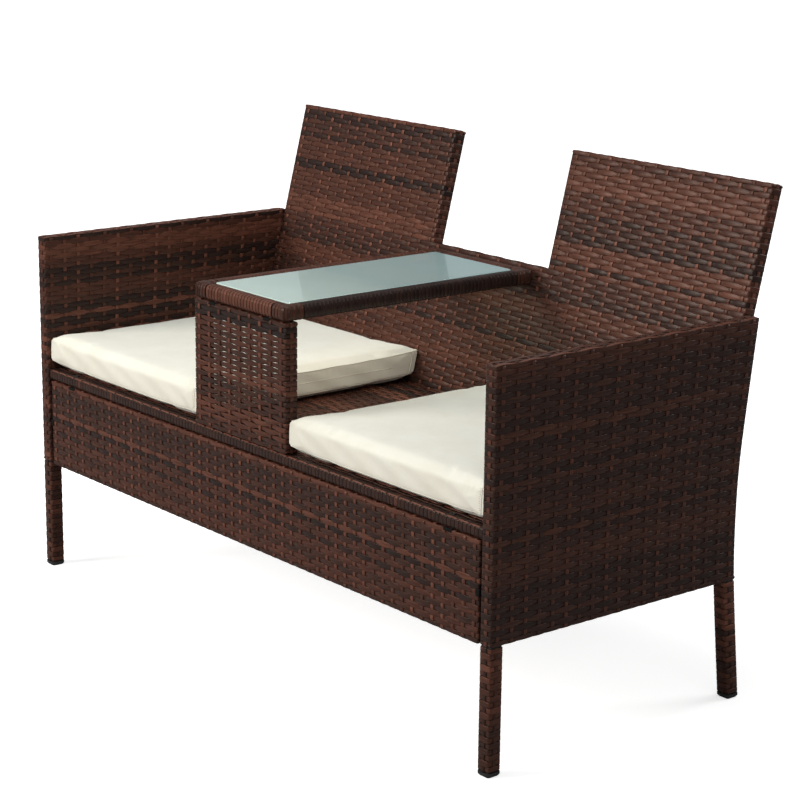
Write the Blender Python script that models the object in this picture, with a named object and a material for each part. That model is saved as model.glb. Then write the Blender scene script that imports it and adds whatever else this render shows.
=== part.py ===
"""A woven garden bench for two with a glass-topped table between its places.

Metres, +Z up. +X runs to the right of someone who faces the bench, +Y runs from its front to its
back, and the origin is on the floor under the middle of the whole bench. Each panel is a welded
frame of square steel tube inside a flat sleeve of plastic strand that is wound around it.
"""
import math

import bmesh
import bpy
from mathutils import Matrix, Vector

# Overall sizes
overall_width = 1.330
arm_height = 0.659
backrest_height = 0.8725
seat_height = 0.4015
panel_bottom = 0.214

# Steel tube and the strand layer around it
tube = 0.022
tube_wall = 0.0012
strand_layer = 0.0027
seat_tube = 0.016
seat_strand_layer = 0.0020
fit_gap = 0.0003
joint_gap = 0.0005
edge_round = 0.004

# Arm panels and their legs, measured back from the front face
arm_depth_at_seat = 0.541
foot_splay = 0.0276
arm_top_recline = 0.034
bend_softness = 0.030
splay_start_above_panel = 0.026
rear_level_count = 16
leg_corner_gusset = 0.012
leg_corner_round = 0.006
foot_flange = 0.008
foot_chamfer = 0.003
foot_plug = 0.020
foot_plug_gap = 0.0004

# Seat, front skirt and backrest
seat_front_setback = 0.003
skirt_front_setback = 0.0025
skirt_bottom = 0.211
skirt_top = 0.380
skirt_end_gap = 0.005
skirt_post_share = 1 / 3
back_plane_at_seat = 0.5004
back_recline = math.radians(14.25)
back_bottom = 0.376
back_corner_round = 0.010
notch_width = 0.318
notch_bottom = 0.661

# Table and the panel that carries its front
table_width = 0.274
table_top = 0.657
table_rear_gap = 0.0005
table_corner_round = 0.016
table_rim_round = 0.009
table_tube_round = 0.004
support_width = 0.270
support_front_setback = 0.002
seat_crossbar_spread = 0.250
glass_thickness = 0.005
glass_side_gap = 0.001
glass_below_rim = 0.002
glass_corner_round = 0.006
glass_arris = 0.0008
pad_radius = 0.011
pad_height = 0.0034
pad_end_distance = 0.065
tab_width = 0.026
tab_thickness = 0.003
tab_reach = 0.036

# Fasteners
bolt_radius = 0.003
head_radius = 0.0052
head_height = 0.0025
socket_radius = 0.0023
socket_depth = 0.0014
bore_clearance = 0.0006
head_clearance = 0.0010
thread_reach = 0.010
pin_radius = 0.004
spacer_radius = 0.0075
lug_thickness = 0.0055
lug_neck = 0.0020
lug_neck_width = 0.024
lug_width = 0.030
lug_drop = 0.019
lug_front_distance = 0.080
lug_rear_distance = 0.420
skirt_bolt_spread = 1.110
table_bolt_spread = 0.160
back_bolt_inner_spread = 0.300
back_bolt_outer_spread = 0.900
back_seat_bolt_height = 0.388
back_table_bolt_height = 0.645
back_arm_bolt_below_top = 0.076
bare_spot_width = 0.014
bare_spot_depth = 0.006
bore_sides = 8
round_sides = 12

# Cushions
cushion_front_setback = 0.008
cushion_side_gap = 0.005
cushion_rear_gap = 0.002
cushion_side_height = 0.050
cushion_under_crown = 0.006
cushion_top_crown = 0.009
cushion_corner_round = 0.022
cushion_draw_in = 0.006
cushion_side_bulge = 0.003
cover_thickness = 0.0020
zip_length = 0.360
zip_height = 0.006

# The two sides of the bench, as a sign of X and a name
sides = ((-1, "left"), (1, "right"))

# Sizes worked out from those above
inset = strand_layer + fit_gap
seat_inset = seat_strand_layer + fit_gap
panel = tube + 2 * inset
seat_panel = seat_tube + 2 * seat_inset
arm_inner = overall_width / 2 - panel
corner_loss = edge_round * (math.sin(back_recline) + math.cos(back_recline) - 1)
overall_depth = (back_plane_at_seat + (backrest_height - seat_height) * math.tan(back_recline)
                 + panel * math.cos(back_recline) - corner_loss)
front = -overall_depth / 2
seat_under = seat_height - seat_panel
seat_half = arm_inner - joint_gap
seat_front = front + seat_front_setback
arm_rail_height = seat_under - lug_drop
bore_radius = bolt_radius + bore_clearance
pin_bore_radius = pin_radius + bore_clearance
head_hole_radius = head_radius + head_clearance


def back_plane(height):
    """Y of the backrest's front face at a height."""
    return front + back_plane_at_seat + (height - seat_height) * math.tan(back_recline)


seat_rear = back_plane(seat_under) - joint_gap
table_under = table_top - panel
table_rear = back_plane(table_under) - table_rear_gap
support_top = table_under - joint_gap
support_bottom = seat_height + joint_gap
front_pin_y = seat_front + seat_inset + seat_tube / 2


def rear_edge(height):
    """Y of an arm's rear edge: straight behind the seat, leaning back above it and splayed below it.

    Each bend is a straight slope faded in by the soft ramp s * log(1 + exp(t / s)).
    """
    splay_start = panel_bottom + splay_start_above_panel
    below = bend_softness * math.log1p(math.exp((splay_start - height) / bend_softness))
    above = bend_softness * math.log1p(math.exp((height - seat_height) / bend_softness))
    lean = arm_top_recline * above / (arm_height - seat_height)
    return front + arm_depth_at_seat + foot_splay * below / splay_start + lean


rear_level_step = arm_height / rear_level_count
rear_levels = [rear_level_step * index for index in range(rear_level_count + 1)]


def rear_line(height):
    """The rear edge as straight runs between the shared levels, so that nested pieces stay parallel."""
    index = min(max(int(height / rear_level_step), 0), rear_level_count - 1)
    low, high = rear_edge(rear_levels[index]), rear_edge(rear_levels[index + 1])
    return low + (high - low) * (height - rear_levels[index]) / rear_level_step


# Shapes in a plane

def rectangle(left, low, right, high):
    return [(left, low), (right, low), (right, high), (left, high)]


def rounded(points, radii, steps):
    """The outline with each corner replaced by an arc of its radius, in a number of steps."""
    outline = []
    for index, point in enumerate(points):
        corner = Vector(point)
        before = (Vector(points[index - 1]) - corner).normalized()
        after = (Vector(points[(index + 1) % len(points)]) - corner).normalized()
        radius = radii[index] if isinstance(radii, list) else radii
        if radius <= 0:
            outline.append(tuple(corner))
            continue
        half_angle = before.angle(after) / 2
        centre = corner + (before + after).normalized() * radius / math.sin(half_angle)
        start = corner + before * radius / math.tan(half_angle) - centre
        turn = start.angle_signed(corner + after * radius / math.tan(half_angle) - centre)
        for step in range(steps + 1):
            arm = start.copy()
            arm.rotate(Matrix.Rotation(-turn * step / steps, 2))
            outline.append(tuple(centre + arm))
    return outline


def between(low, high, steps):
    return [low + (high - low) * step / steps for step in range(steps + 1)]


# Poses: where the plane of an outline stands

def side_pose():
    """Outline in (Y, Z), thickness along X."""
    return Matrix(((0, 0, 1, 0), (1, 0, 0, 0), (0, 1, 0, 0), (0, 0, 0, 1)))


def leaning_pose(y, z, lean):
    """Outline in (X, up the panel); thickness runs forward, so the panel fills -thickness to 0."""
    return Matrix.Translation((0, y, z)) @ Matrix.Rotation(math.pi / 2 - lean, 4, "X")


# Solids

def add_object(name, bm):
    bmesh.ops.recalc_face_normals(bm, faces=bm.faces)
    mesh = bpy.data.meshes.new(name)
    bm.to_mesh(mesh)
    bm.free()
    solid = bpy.data.objects.new(name, mesh)
    bpy.context.scene.collection.objects.link(solid)
    return solid


def prism(name, outline, low, high, pose=None, edge=0.0, segments=2):
    """The outline carried from low to high, with its sharp edges rounded by edge."""
    bm = bmesh.new()
    lower = [bm.verts.new((x, y, low)) for x, y in outline]
    upper = [bm.verts.new((x, y, high)) for x, y in outline]
    bm.faces.new(list(reversed(lower)))
    bm.faces.new(upper)
    for index in range(len(outline)):
        follower = (index + 1) % len(outline)
        bm.faces.new((lower[index], lower[follower], upper[follower], upper[index]))
    if edge > 0:
        bm.normal_update()
        sharp = [line for line in bm.edges if line.calc_face_angle() > math.radians(40)]
        bmesh.ops.bevel(bm, geom=sharp, offset=edge, offset_type="OFFSET", segments=segments,
                        profile=0.5, affect="EDGES", clamp_overlap=True)
    if pose is not None:
        bmesh.ops.transform(bm, matrix=pose, verts=bm.verts)
    return add_object(name, bm)


def box(name, low, high):
    return prism(name, rectangle(low[0], low[1], high[0], high[1]), low[2], high[2])


def loft(name, rings, closed=False):
    """A solid through rings of equally many points, capped at its ends or closed on itself."""
    bm = bmesh.new()
    loops = [[bm.verts.new(point) for point in ring] for ring in rings]
    count = len(loops[0])
    pairs = list(zip(loops, loops[1:]))
    if closed:
        pairs.append((loops[-1], loops[0]))
    else:
        bm.faces.new(loops[0])
        bm.faces.new(loops[-1])
    for lower, upper in pairs:
        for index in range(count):
            follower = (index + 1) % count
            bm.faces.new((lower[index], lower[follower], upper[follower], upper[index]))
    return add_object(name, bm)


def circle(radius, sides):
    step = 2 * math.pi / sides
    return [(radius * math.cos(step * index), radius * math.sin(step * index)) for index in range(sides)]


def rod(name, start, end, radius, sides=round_sides):
    """A round bar from start to end."""
    axis = Vector(end) - Vector(start)
    pose = Matrix.Translation(start) @ axis.to_track_quat("Z", "Y").to_matrix().to_4x4()
    return prism(name, circle(radius, sides), 0, axis.length, pose)


def combine(target, tools, operation):
    """Join the tools to the target or cut them from it, and leave one plain mesh."""
    for tool in tools:
        change = target.modifiers.new(operation, "BOOLEAN")
        change.operation = operation
        change.solver = "EXACT"
        change.object = tool
    evaluated = target.evaluated_get(bpy.context.evaluated_depsgraph_get())
    result = bpy.data.meshes.new_from_object(evaluated)
    target.modifiers.clear()
    spent = target.data
    target.data = result
    bpy.data.meshes.remove(spent)
    for tool in tools:
        bpy.data.meshes.remove(tool.data)
    return target


def cut(target, *tools):
    return combine(target, tools, "DIFFERENCE")


def join(target, *tools):
    return combine(target, tools, "UNION")


# Materials

def make_material(name, colour, roughness, metallic=0.0):
    material = bpy.data.materials.new(name)
    material.use_nodes = True
    shader = material.node_tree.nodes["Principled BSDF"]
    shader.inputs["Base Color"].default_value = (*colour, 1)
    shader.inputs["Roughness"].default_value = roughness
    shader.inputs["Metallic"].default_value = metallic
    return material


def finish(solid, material, smooth=False):
    solid.data.name = solid.name
    solid.data.materials.clear()
    solid.data.materials.append(material)
    if smooth:
        solid.data.shade_smooth()
        solid.data.set_sharp_from_angle(angle=math.radians(30))
    return solid


# Panels

def tube_frame(name, outline, windows, depth, pose, size, open_outline=None):
    """A welded tube frame: outline(inset) less its windows(growth), hollow inside by the tube's wall."""
    low, high = depth
    reach = tube
    solid = prism(name, outline(0), low, high, pose)
    holes = [prism("hole", hole, low - reach, high + reach, pose) for hole in windows(0)]
    cut(solid, *holes)
    hollow_outline = open_outline or outline
    hollow = prism("hollow", hollow_outline(size), low + size, high - size, pose)
    walls = [prism("wall", hole, low - reach, high + reach, pose) for hole in windows(size)]
    cut(hollow, *walls)
    return cut(solid, hollow)


def sleeve_panel(name, outline, cavity, depth, layer, pose):
    """A flat sleeve of strand: the rounded outline less the space that the tube frame fills."""
    low, high = depth
    solid = prism(name, outline, low, high, pose, edge=edge_round)
    return cut(solid, prism("cavity", cavity, low + layer, high - layer, pose))


# Arms

def rear_run(low, high, shift):
    """Points up the rear edge from low to high, moved forward by shift, on one shared set of levels."""
    shared = [level for level in rear_levels if low < level < high]
    return [(rear_line(level) - shift, level) for level in [low, *shared, high]]


def arm_panel_outline(margin, gusset):
    """The woven panel of an arm from its side, with a small gusset down the front leg."""
    face = front + margin
    inner = face + panel - 2 * margin
    low = panel_bottom + margin
    top = arm_height - margin
    points = [(face, top), (face, low - gusset), (inner, low - gusset), (inner + gusset, low)]
    return points + rear_run(low, top, margin)


def arm_and_legs_outline(margin, foot):
    """The same panel, drawn in by margin, with its two legs down to foot."""
    face = front + margin
    leg = panel - 2 * margin
    low = panel_bottom + margin
    top = arm_height - margin
    points = [(face, top), (face, foot), (face + leg, foot), (face + leg, low)]
    inner = rear_run(foot, low, margin + leg)
    return points + list(reversed(inner)) + rear_run(foot, top, margin)


def arm_windows(growth):
    """The two open fields of an arm's tube frame, each grown by growth."""
    inner = front + inset + tube - growth
    rail_low = arm_rail_height - tube / 2
    rail_high = arm_rail_height + tube / 2
    fields = [(panel_bottom + inset + tube, rail_low), (rail_high, arm_height - inset - tube)]
    windows = []
    for low, high in fields:
        rear = rear_run(low - growth, high + growth, inset + tube - growth)
        windows.append([(inner, high + growth), (inner, low - growth)] + rear)
    return windows


def arm_depth(side, margin):
    edges = sorted((side * (arm_inner + margin), side * (arm_inner + panel - margin)))
    return edges[0], edges[1]


def leg_ring(side, rear, height, size, corner, steps=2):
    """One level cross-section of a leg, as a square with rounded corners."""
    middle_x = side * (arm_inner + panel / 2)
    middle_y = rear_line(height) - panel / 2 if rear else front + panel / 2
    half = size / 2
    square = rounded(rectangle(-half, -half, half, half), corner, steps)
    return [(middle_x + x, middle_y + y, height) for x, y in square]


def make_arm(side, label):
    """The tube frame of one arm with both its legs, and the strand sleeve of its panel."""
    foot = foot_flange + fit_gap
    frame = tube_frame(
        "arm_frame_" + label,
        lambda wall: arm_and_legs_outline(inset + wall, foot),
        arm_windows,
        arm_depth(side, inset),
        side_pose(),
        tube_wall,
        open_outline=lambda wall: arm_and_legs_outline(inset + wall, foot - tube),
    )
    sleeve = sleeve_panel(
        "arm_weave_" + label,
        arm_panel_outline(0, leg_corner_gusset),
        arm_and_legs_outline(strand_layer, panel_bottom - leg_corner_gusset - tube),
        arm_depth(side, 0),
        strand_layer,
        side_pose(),
    )
    return frame, sleeve


def make_leg_wrap(side, rear, name):
    """The strand wound around the bare length of one leg, an open square sleeve."""
    low = foot_flange + fit_gap
    high = panel_bottom - fit_gap if rear else panel_bottom - leg_corner_gusset - fit_gap
    levels = [level for y, level in rear_run(low, high, 0)] if rear else [low, high]
    bore = tube + 2 * fit_gap
    outer = [leg_ring(side, rear, level, panel, leg_corner_round) for level in levels]
    inner = [leg_ring(side, rear, level, bore, fit_gap) for level in reversed(levels)]
    return loft(name, outer + inner, closed=True)


def make_foot(side, rear, name):
    """A black plastic foot: a chamfered flange under the tube and a plug up inside it."""
    plug = tube - 2 * tube_wall - 2 * foot_plug_gap
    rings = [
        leg_ring(side, rear, 0, panel - 2 * foot_chamfer, leg_corner_round - foot_chamfer),
        leg_ring(side, rear, foot_chamfer, panel, leg_corner_round),
        leg_ring(side, rear, foot_flange, panel, leg_corner_round),
        leg_ring(side, rear, foot_flange, plug, foot_chamfer / 2),
        leg_ring(side, rear, foot_flange + foot_plug, plug, foot_chamfer / 2),
    ]
    return loft(name, rings)


# Backrest: two high fields joined by a low one

back_rise = math.cos(back_recline)
back_base = back_plane(back_bottom)
back_pose = leaning_pose(back_base, back_bottom, back_recline)
back_forward = Vector((0, -math.cos(back_recline), math.sin(back_recline)))


def up_the_back(height):
    """Distance up the leaning panel from its lower edge to a height on its front face."""
    return (height - back_bottom) / back_rise


def back_outline(margin):
    side = arm_inner - joint_gap - margin
    notch_side = notch_width / 2 + margin
    low = margin
    high = up_the_back(backrest_height) - margin
    middle = up_the_back(notch_bottom) - margin
    points = [(-side, low), (side, low), (side, high), (notch_side, high), (notch_side, middle),
              (-notch_side, middle), (-notch_side, high), (-side, high)]
    convex = max(back_corner_round - margin, fit_gap)
    return rounded(points, [convex, convex, convex, convex, 0, 0, convex, convex], 2)


def back_windows(growth):
    outer = arm_inner - joint_gap - inset - tube + growth
    inner = notch_width / 2 + inset + tube - growth
    middle = notch_width / 2 + inset + growth
    rail_high = up_the_back(notch_bottom) - inset
    low = inset + tube - growth
    lower_high = rail_high - tube + growth
    upper_low = rail_high - growth
    upper_high = up_the_back(backrest_height) - inset - tube + growth
    return [
        rectangle(inner, low, outer, lower_high),
        rectangle(-outer, low, -inner, lower_high),
        rectangle(-middle, low, middle, lower_high),
        rectangle(inner, upper_low, outer, upper_high),
        rectangle(-outer, upper_low, -inner, upper_high),
    ]


def make_back():
    frame = tube_frame(
        "back_frame",
        lambda wall: back_outline(inset + wall),
        back_windows,
        (inset - panel, -inset),
        back_pose,
        tube_wall,
    )
    sleeve = sleeve_panel("back_weave", back_outline(0), back_outline(strand_layer), (-panel, 0),
                          strand_layer, back_pose)
    return frame, sleeve


# Flat and upright panels

def make_seat():
    def outline(margin):
        side = seat_half - margin
        return rectangle(-side, seat_front + margin, side, seat_rear - margin)

    def windows(growth):
        side = seat_half - seat_inset - seat_tube + growth
        low = seat_front + seat_inset + seat_tube - growth
        high = seat_rear - seat_inset - seat_tube + growth
        bar_out = seat_crossbar_spread / 2 + seat_tube / 2 - growth
        bar_in = seat_crossbar_spread / 2 - seat_tube / 2 + growth
        return [rectangle(-side, low, -bar_out, high), rectangle(-bar_in, low, bar_in, high),
                rectangle(bar_out, low, side, high)]

    low = seat_under
    frame = tube_frame("seat_frame", lambda wall: outline(seat_inset + wall), windows,
                       (low + seat_inset, seat_height - seat_inset), Matrix(), tube_wall)
    sleeve = sleeve_panel("seat_weave", outline(0), outline(seat_strand_layer), (low, seat_height),
                          seat_strand_layer, Matrix())
    return frame, sleeve


def make_skirt():
    half = arm_inner - skirt_end_gap
    pose = leaning_pose(front + skirt_front_setback, 0, 0)

    def outline(margin):
        return rectangle(-half + margin, skirt_bottom + margin, half - margin, skirt_top - margin)

    def windows(growth):
        low = skirt_bottom + inset + tube - growth
        high = skirt_top - inset - tube + growth
        side = half - inset - tube + growth
        post = half * skirt_post_share
        post_out = post + tube / 2 - growth
        post_in = post - tube / 2 + growth
        return [rectangle(-side, low, -post_out, high), rectangle(-post_in, low, post_in, high),
                rectangle(post_out, low, side, high)]

    frame = tube_frame("skirt_frame", lambda wall: outline(inset + wall), windows,
                       (inset - panel, -inset), pose, tube_wall)
    sleeve = sleeve_panel("skirt_weave", outline(0), outline(strand_layer), (-panel, 0), strand_layer, pose)
    return frame, sleeve


def make_support():
    half = support_width / 2
    pose = leaning_pose(front + support_front_setback, 0, 0)

    def outline(margin):
        return rectangle(-half + margin, support_bottom + margin, half - margin, support_top - margin)

    def windows(growth):
        edge = inset + tube - growth
        return [rectangle(-half + edge, support_bottom + edge, half - edge, support_top - edge)]

    frame = tube_frame("support_frame", lambda wall: outline(inset + wall), windows,
                       (inset - panel, -inset), pose, tube_wall)
    sleeve = sleeve_panel("support_weave", outline(0), outline(strand_layer), (-panel, 0),
                          strand_layer, pose)
    return frame, sleeve


# Table: a ring of tube, its wound rim, the glass and what carries it

table_centre_y = (front + table_rear) / 2
table_half_x = table_width / 2 - panel / 2
table_half_y = (table_rear - front) / 2 - panel / 2
glass_low = table_top - glass_below_rim - glass_thickness
tab_high = glass_low - pad_height - 2 * fit_gap


def table_ring(name, size, corner, steps):
    """A square bar with rounded edges, carried around the table's middle line."""
    half = size / 2
    section = rounded(rectangle(-half, -half, half, half), corner, steps)
    middle_round = table_corner_round - panel / 2
    rings = []
    for out, up in section:
        outline = rounded(
            rectangle(-table_half_x - out, -table_half_y - out, table_half_x + out, table_half_y + out),
            max(middle_round + out, fit_gap), 3)
        height = table_top - panel / 2 + up
        rings.append([(x, y + table_centre_y, height) for x, y in outline])
    return loft(name, rings, closed=True)


def table_spots():
    """The four places under the glass's corners, as side, x of the pad and y of the pad."""
    x = table_half_x - tube / 2 - tab_reach + pad_radius + fit_gap
    ends = (front + pad_end_distance, table_rear - pad_end_distance)
    return [(side, side * x, y) for side in (-1, 1) for y in ends]


def tab_box(name, side, y, reach_in, grow):
    """A flat tab from inside the tube's wall towards the middle of the table."""
    outer = table_half_x - tube / 2 + reach_in
    inner = table_half_x - tube / 2 - tab_reach - grow
    low_x, high_x = sorted((side * outer, side * inner))
    half = tab_width / 2 + grow
    return box(name, (low_x, y - half, tab_high - tab_thickness - grow), (high_x, y + half, tab_high + grow))


def make_table():
    frame = cut(table_ring("table_frame", tube, table_tube_round, 1),
                table_ring("hollow", tube - 2 * tube_wall, table_tube_round - tube_wall, 1))
    rim = cut(table_ring("table_rim_weave", panel, table_rim_round, 3),
              table_ring("cavity", tube + 2 * fit_gap, table_tube_round, 1))
    tabs = [tab_box("tab", side, y, tube_wall / 2, 0) for side, x, y in table_spots()]
    slots = [tab_box("slot", side, y, tube_wall, fit_gap) for side, x, y in table_spots()]
    join(frame, *tabs)
    cut(rim, *slots)
    return frame, rim


def make_glass():
    half_x = table_half_x - panel / 2 - glass_side_gap
    half_y = table_half_y - panel / 2 - glass_side_gap
    outline = rounded(rectangle(-half_x, table_centre_y - half_y, half_x, table_centre_y + half_y),
                      glass_corner_round, 3)
    glass = prism("glass_top", outline, glass_low, glass_low + glass_thickness,
                  edge=glass_arris, segments=1)
    low = tab_high + fit_gap
    names = ["glass_pad_" + place for place in ("front_left", "rear_left", "front_right", "rear_right")]
    pads = [rod(name, (x, y, low), (x, y, low + pad_height), pad_radius)
            for name, (side, x, y) in zip(names, table_spots())]
    return glass, pads


# Bolts, pins and spacers

def bolt(name, seat, direction, length):
    """A bolt whose head's underside is at seat, with its shank along direction and a hexagon socket."""
    flat = socket_radius * math.cos(math.pi / 6)
    hexagon = [socket_radius, flat] * (round_sides // 2)
    sections = [
        (length, [bolt_radius] * round_sides),
        (0, [bolt_radius] * round_sides),
        (0, [head_radius] * round_sides),
        (-head_height, [head_radius] * round_sides),
        (-head_height, hexagon),
        (-head_height + socket_depth, hexagon),
    ]
    pose = Matrix.Translation(seat) @ Vector(direction).to_track_quat("Z", "Y").to_matrix().to_4x4()
    rings = []
    for along, radii in sections:
        ring = []
        for index, radius in enumerate(radii):
            turn = 2 * math.pi / round_sides * index
            ring.append(pose @ Vector((radius * math.cos(turn), radius * math.sin(turn), along)))
        rings.append(ring)
    return loft(name, rings)


def on_back(x, height, behind):
    """A point behind the backrest's front face, square to it from the spot at x and height."""
    return Vector((x, back_plane(height), height)) - back_forward * behind


def drill(solid, places, radius):
    """Round holes through a solid, each from a start to an end."""
    return cut(solid, *[rod("drill", start, end, radius, bore_sides) for start, end in places])


def fasten_seat_to_arms(arm_frames, arm_sleeves, seat_frame, seat_sleeve):
    """Lugs under the seat's side rails, bolted through into the arms' middle rails."""
    lug_outer = arm_inner - fit_gap
    lug_inner = lug_outer - lug_thickness
    end = arm_inner + inset + thread_reach
    bolts = []
    lugs = []
    slots = []
    for (side, label), arm_frame, arm_sleeve in zip(sides, arm_frames, arm_sleeves):
        for end_label, distance in (("front", lug_front_distance), ("rear", lug_rear_distance)):
            y = front + distance
            half = lug_width / 2
            wide = sorted((side * lug_inner, side * lug_outer))
            thin = sorted((side * lug_inner, side * (lug_inner + lug_neck)))
            low = arm_rail_height - tube / 2
            lug = box("lug", (wide[0], y - half, low), (wide[1], y + half, seat_under - fit_gap))
            neck_high = seat_under + seat_inset + tube_wall / 2
            neck_low = seat_under - lug_drop / 2
            neck = lug_neck_width / 2
            join(lug, box("neck", (thin[0], y - neck, neck_low), (thin[1], y + neck, neck_high)))
            slots.append(box("slot", (thin[0] - fit_gap, y - neck - fit_gap, seat_under - seat_inset),
                             (thin[1] + fit_gap, y + neck + fit_gap, neck_high)))
            seat = (side * (lug_inner - fit_gap), y, arm_rail_height)
            name = f"seat_arm_bolt_{end_label}_{label}"
            bolts.append(bolt(name, seat, (side, 0, 0), end - lug_inner))
            way = [((side * (lug_inner - tube), y, arm_rail_height),
                    (side * (end + fit_gap), y, arm_rail_height))]
            lugs.append(drill(lug, way, bore_radius))
            drill(arm_frame, way, bore_radius)
            drill(arm_sleeve, way, bore_radius)
    join(seat_frame, *lugs)
    cut(seat_sleeve, *slots)
    return bolts


def fasten_skirt_to_legs(arm_frames, arm_sleeves, skirt_frame, skirt_sleeve):
    """A pin and a spacer between each end of the skirt and the front leg beside it."""
    height = (skirt_bottom + skirt_top) / 2
    y = front + panel / 2
    skirt_half = arm_inner - skirt_end_gap
    start = skirt_half - inset - thread_reach
    end = arm_inner + inset + thread_reach
    pins = []
    spacers = []
    for (side, label), arm_frame, arm_sleeve in zip(sides, arm_frames, arm_sleeves):
        ends = (side * start, y, height), (side * end, y, height)
        pins.append(rod("skirt_pin_" + label, *ends, pin_radius))
        way = [((side * (start - fit_gap), y, height), (side * (end + fit_gap), y, height))]
        for solid in (arm_frame, arm_sleeve, skirt_frame, skirt_sleeve):
            drill(solid, way, pin_bore_radius)
        spacer = rod("skirt_spacer_" + label, (side * (skirt_half + fit_gap), y, height),
                     (side * (arm_inner - fit_gap), y, height), spacer_radius)
        spacers.append(drill(spacer, way, pin_bore_radius))
    return pins, spacers


def fasten_skirt_to_seat(seat_frame, seat_sleeve, skirt_frame, skirt_sleeve):
    """Two bolts down through the seat's front rail into the skirt, where the skirt's tube lies bare."""
    seat_on = seat_height - seat_inset + fit_gap
    end = skirt_top - inset - thread_reach
    bolts = []
    for side, label in sides:
        x = side * skirt_bolt_spread / 2
        bolts.append(bolt("seat_skirt_bolt_" + label, (x, front_pin_y, seat_on), (0, 0, -1), seat_on - end))
        way = [((x, front_pin_y, seat_height + tube), (x, front_pin_y, end - fit_gap))]
        for solid in (seat_frame, seat_sleeve, skirt_frame, skirt_sleeve):
            drill(solid, way, bore_radius)
        head_way = [((x, front_pin_y, seat_height + tube), (x, front_pin_y, seat_on - fit_gap))]
        drill(seat_sleeve, head_way, head_hole_radius)
        bare = box("bare", (x - bare_spot_width / 2, front - tube, skirt_top - bare_spot_depth),
                   (x + bare_spot_width / 2, front_pin_y + bolt_radius, skirt_top + tube))
        cut(skirt_sleeve, bare)
    return bolts


def fasten_support(seat_frame, seat_sleeve, support_frame, support_sleeve, table_frame, rim):
    """Pins under and over the table's front panel; its tube lies bare beside the upper ones."""
    lower = (seat_height - seat_inset - thread_reach, support_bottom + inset + thread_reach)
    upper = (support_top - inset - thread_reach, table_under + inset + thread_reach)
    pins = []
    for side, label in sides:
        x = side * table_bolt_spread / 2
        for end_label, (low, high), solids in (("lower", lower, (seat_frame, seat_sleeve)),
                                               ("upper", upper, (table_frame, rim))):
            name = f"support_pin_{end_label}_{label}"
            pins.append(rod(name, (x, front_pin_y, low), (x, front_pin_y, high), pin_radius))
            way = [((x, front_pin_y, low - fit_gap), (x, front_pin_y, high + fit_gap))]
            for solid in (*solids, support_frame, support_sleeve):
                drill(solid, way, pin_bore_radius)
        bare = box("bare", (x - bare_spot_width / 2, front - tube, support_top - bare_spot_depth),
                   (x + bare_spot_width / 2, front_pin_y + pin_radius, support_top + tube))
        cut(support_sleeve, bare)
    return pins


def fasten_from_behind(name, spots, height, reach, back_frame, back_sleeve, frame, sleeve):
    """Bolts square through the backrest into a rail in front of it, their heads sunk in the strand."""
    seat_depth = panel - inset + fit_gap
    bolts = []
    for number, x in enumerate(spots, 1):
        start = on_back(x, height, seat_depth)
        end = on_back(x, height, -reach)
        bolts.append(bolt(f"{name}_{number}", start, back_forward, (end - start).length))
        way = [(on_back(x, height, panel + tube), on_back(x, height, -reach - fit_gap))]
        for solid in (back_frame, back_sleeve, frame, sleeve):
            drill(solid, way, bore_radius)
        head_way = [(on_back(x, height, panel + tube), on_back(x, height, panel - inset))]
        drill(back_sleeve, head_way, head_hole_radius)
    return bolts


def fasten_back_to_arms(arm_frames, arm_sleeves, back_frame, back_sleeve):
    """One bolt through each arm's rear tube into the backrest's side post, in a bare spot."""
    height = arm_height - back_arm_bolt_below_top
    arm_low = rear_line(height) - inset - tube
    arm_high = rear_line(height) - inset
    back_low = back_plane(height) + inset / back_rise
    back_high = back_low + tube / back_rise
    y = (max(arm_low, back_low) + min(arm_high, back_high)) / 2
    head_x = arm_inner + panel - inset + fit_gap
    end = arm_inner - joint_gap - inset - thread_reach
    bolts = []
    for (side, label), arm_frame, arm_sleeve in zip(sides, arm_frames, arm_sleeves):
        bolts.append(bolt("back_arm_bolt_" + label, (side * head_x, y, height), (-side, 0, 0), head_x - end))
        way = [((side * (head_x + tube), y, height), (side * (end - fit_gap), y, height))]
        for solid in (arm_frame, arm_sleeve, back_frame, back_sleeve):
            drill(solid, way, bore_radius)
        low_x, high_x = sorted((side * (head_x - fit_gap), side * (head_x + tube)))
        bare = box("bare", (low_x, y - bare_spot_width / 2, height - bare_spot_width / 2),
                   (high_x, rear_line(height) + tube, height + bare_spot_width / 2))
        cut(arm_sleeve, bare)
    return bolts


# Cushions

cushion_inner = support_width / 2 + cushion_side_gap
cushion_outer = arm_inner - cushion_side_gap
cushion_front = front + cushion_front_setback
cushion_low = seat_height + fit_gap
cushion_high = cushion_low + cushion_under_crown + cushion_side_height
cushion_rear = back_plane(cushion_low) - cushion_rear_gap
cushion_half_x = (cushion_outer - cushion_inner) / 2
cushion_half_y = (cushion_rear - cushion_front) / 2
cushion_centre_x = (cushion_outer + cushion_inner) / 2
cushion_centre_y = (cushion_rear + cushion_front) / 2


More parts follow.
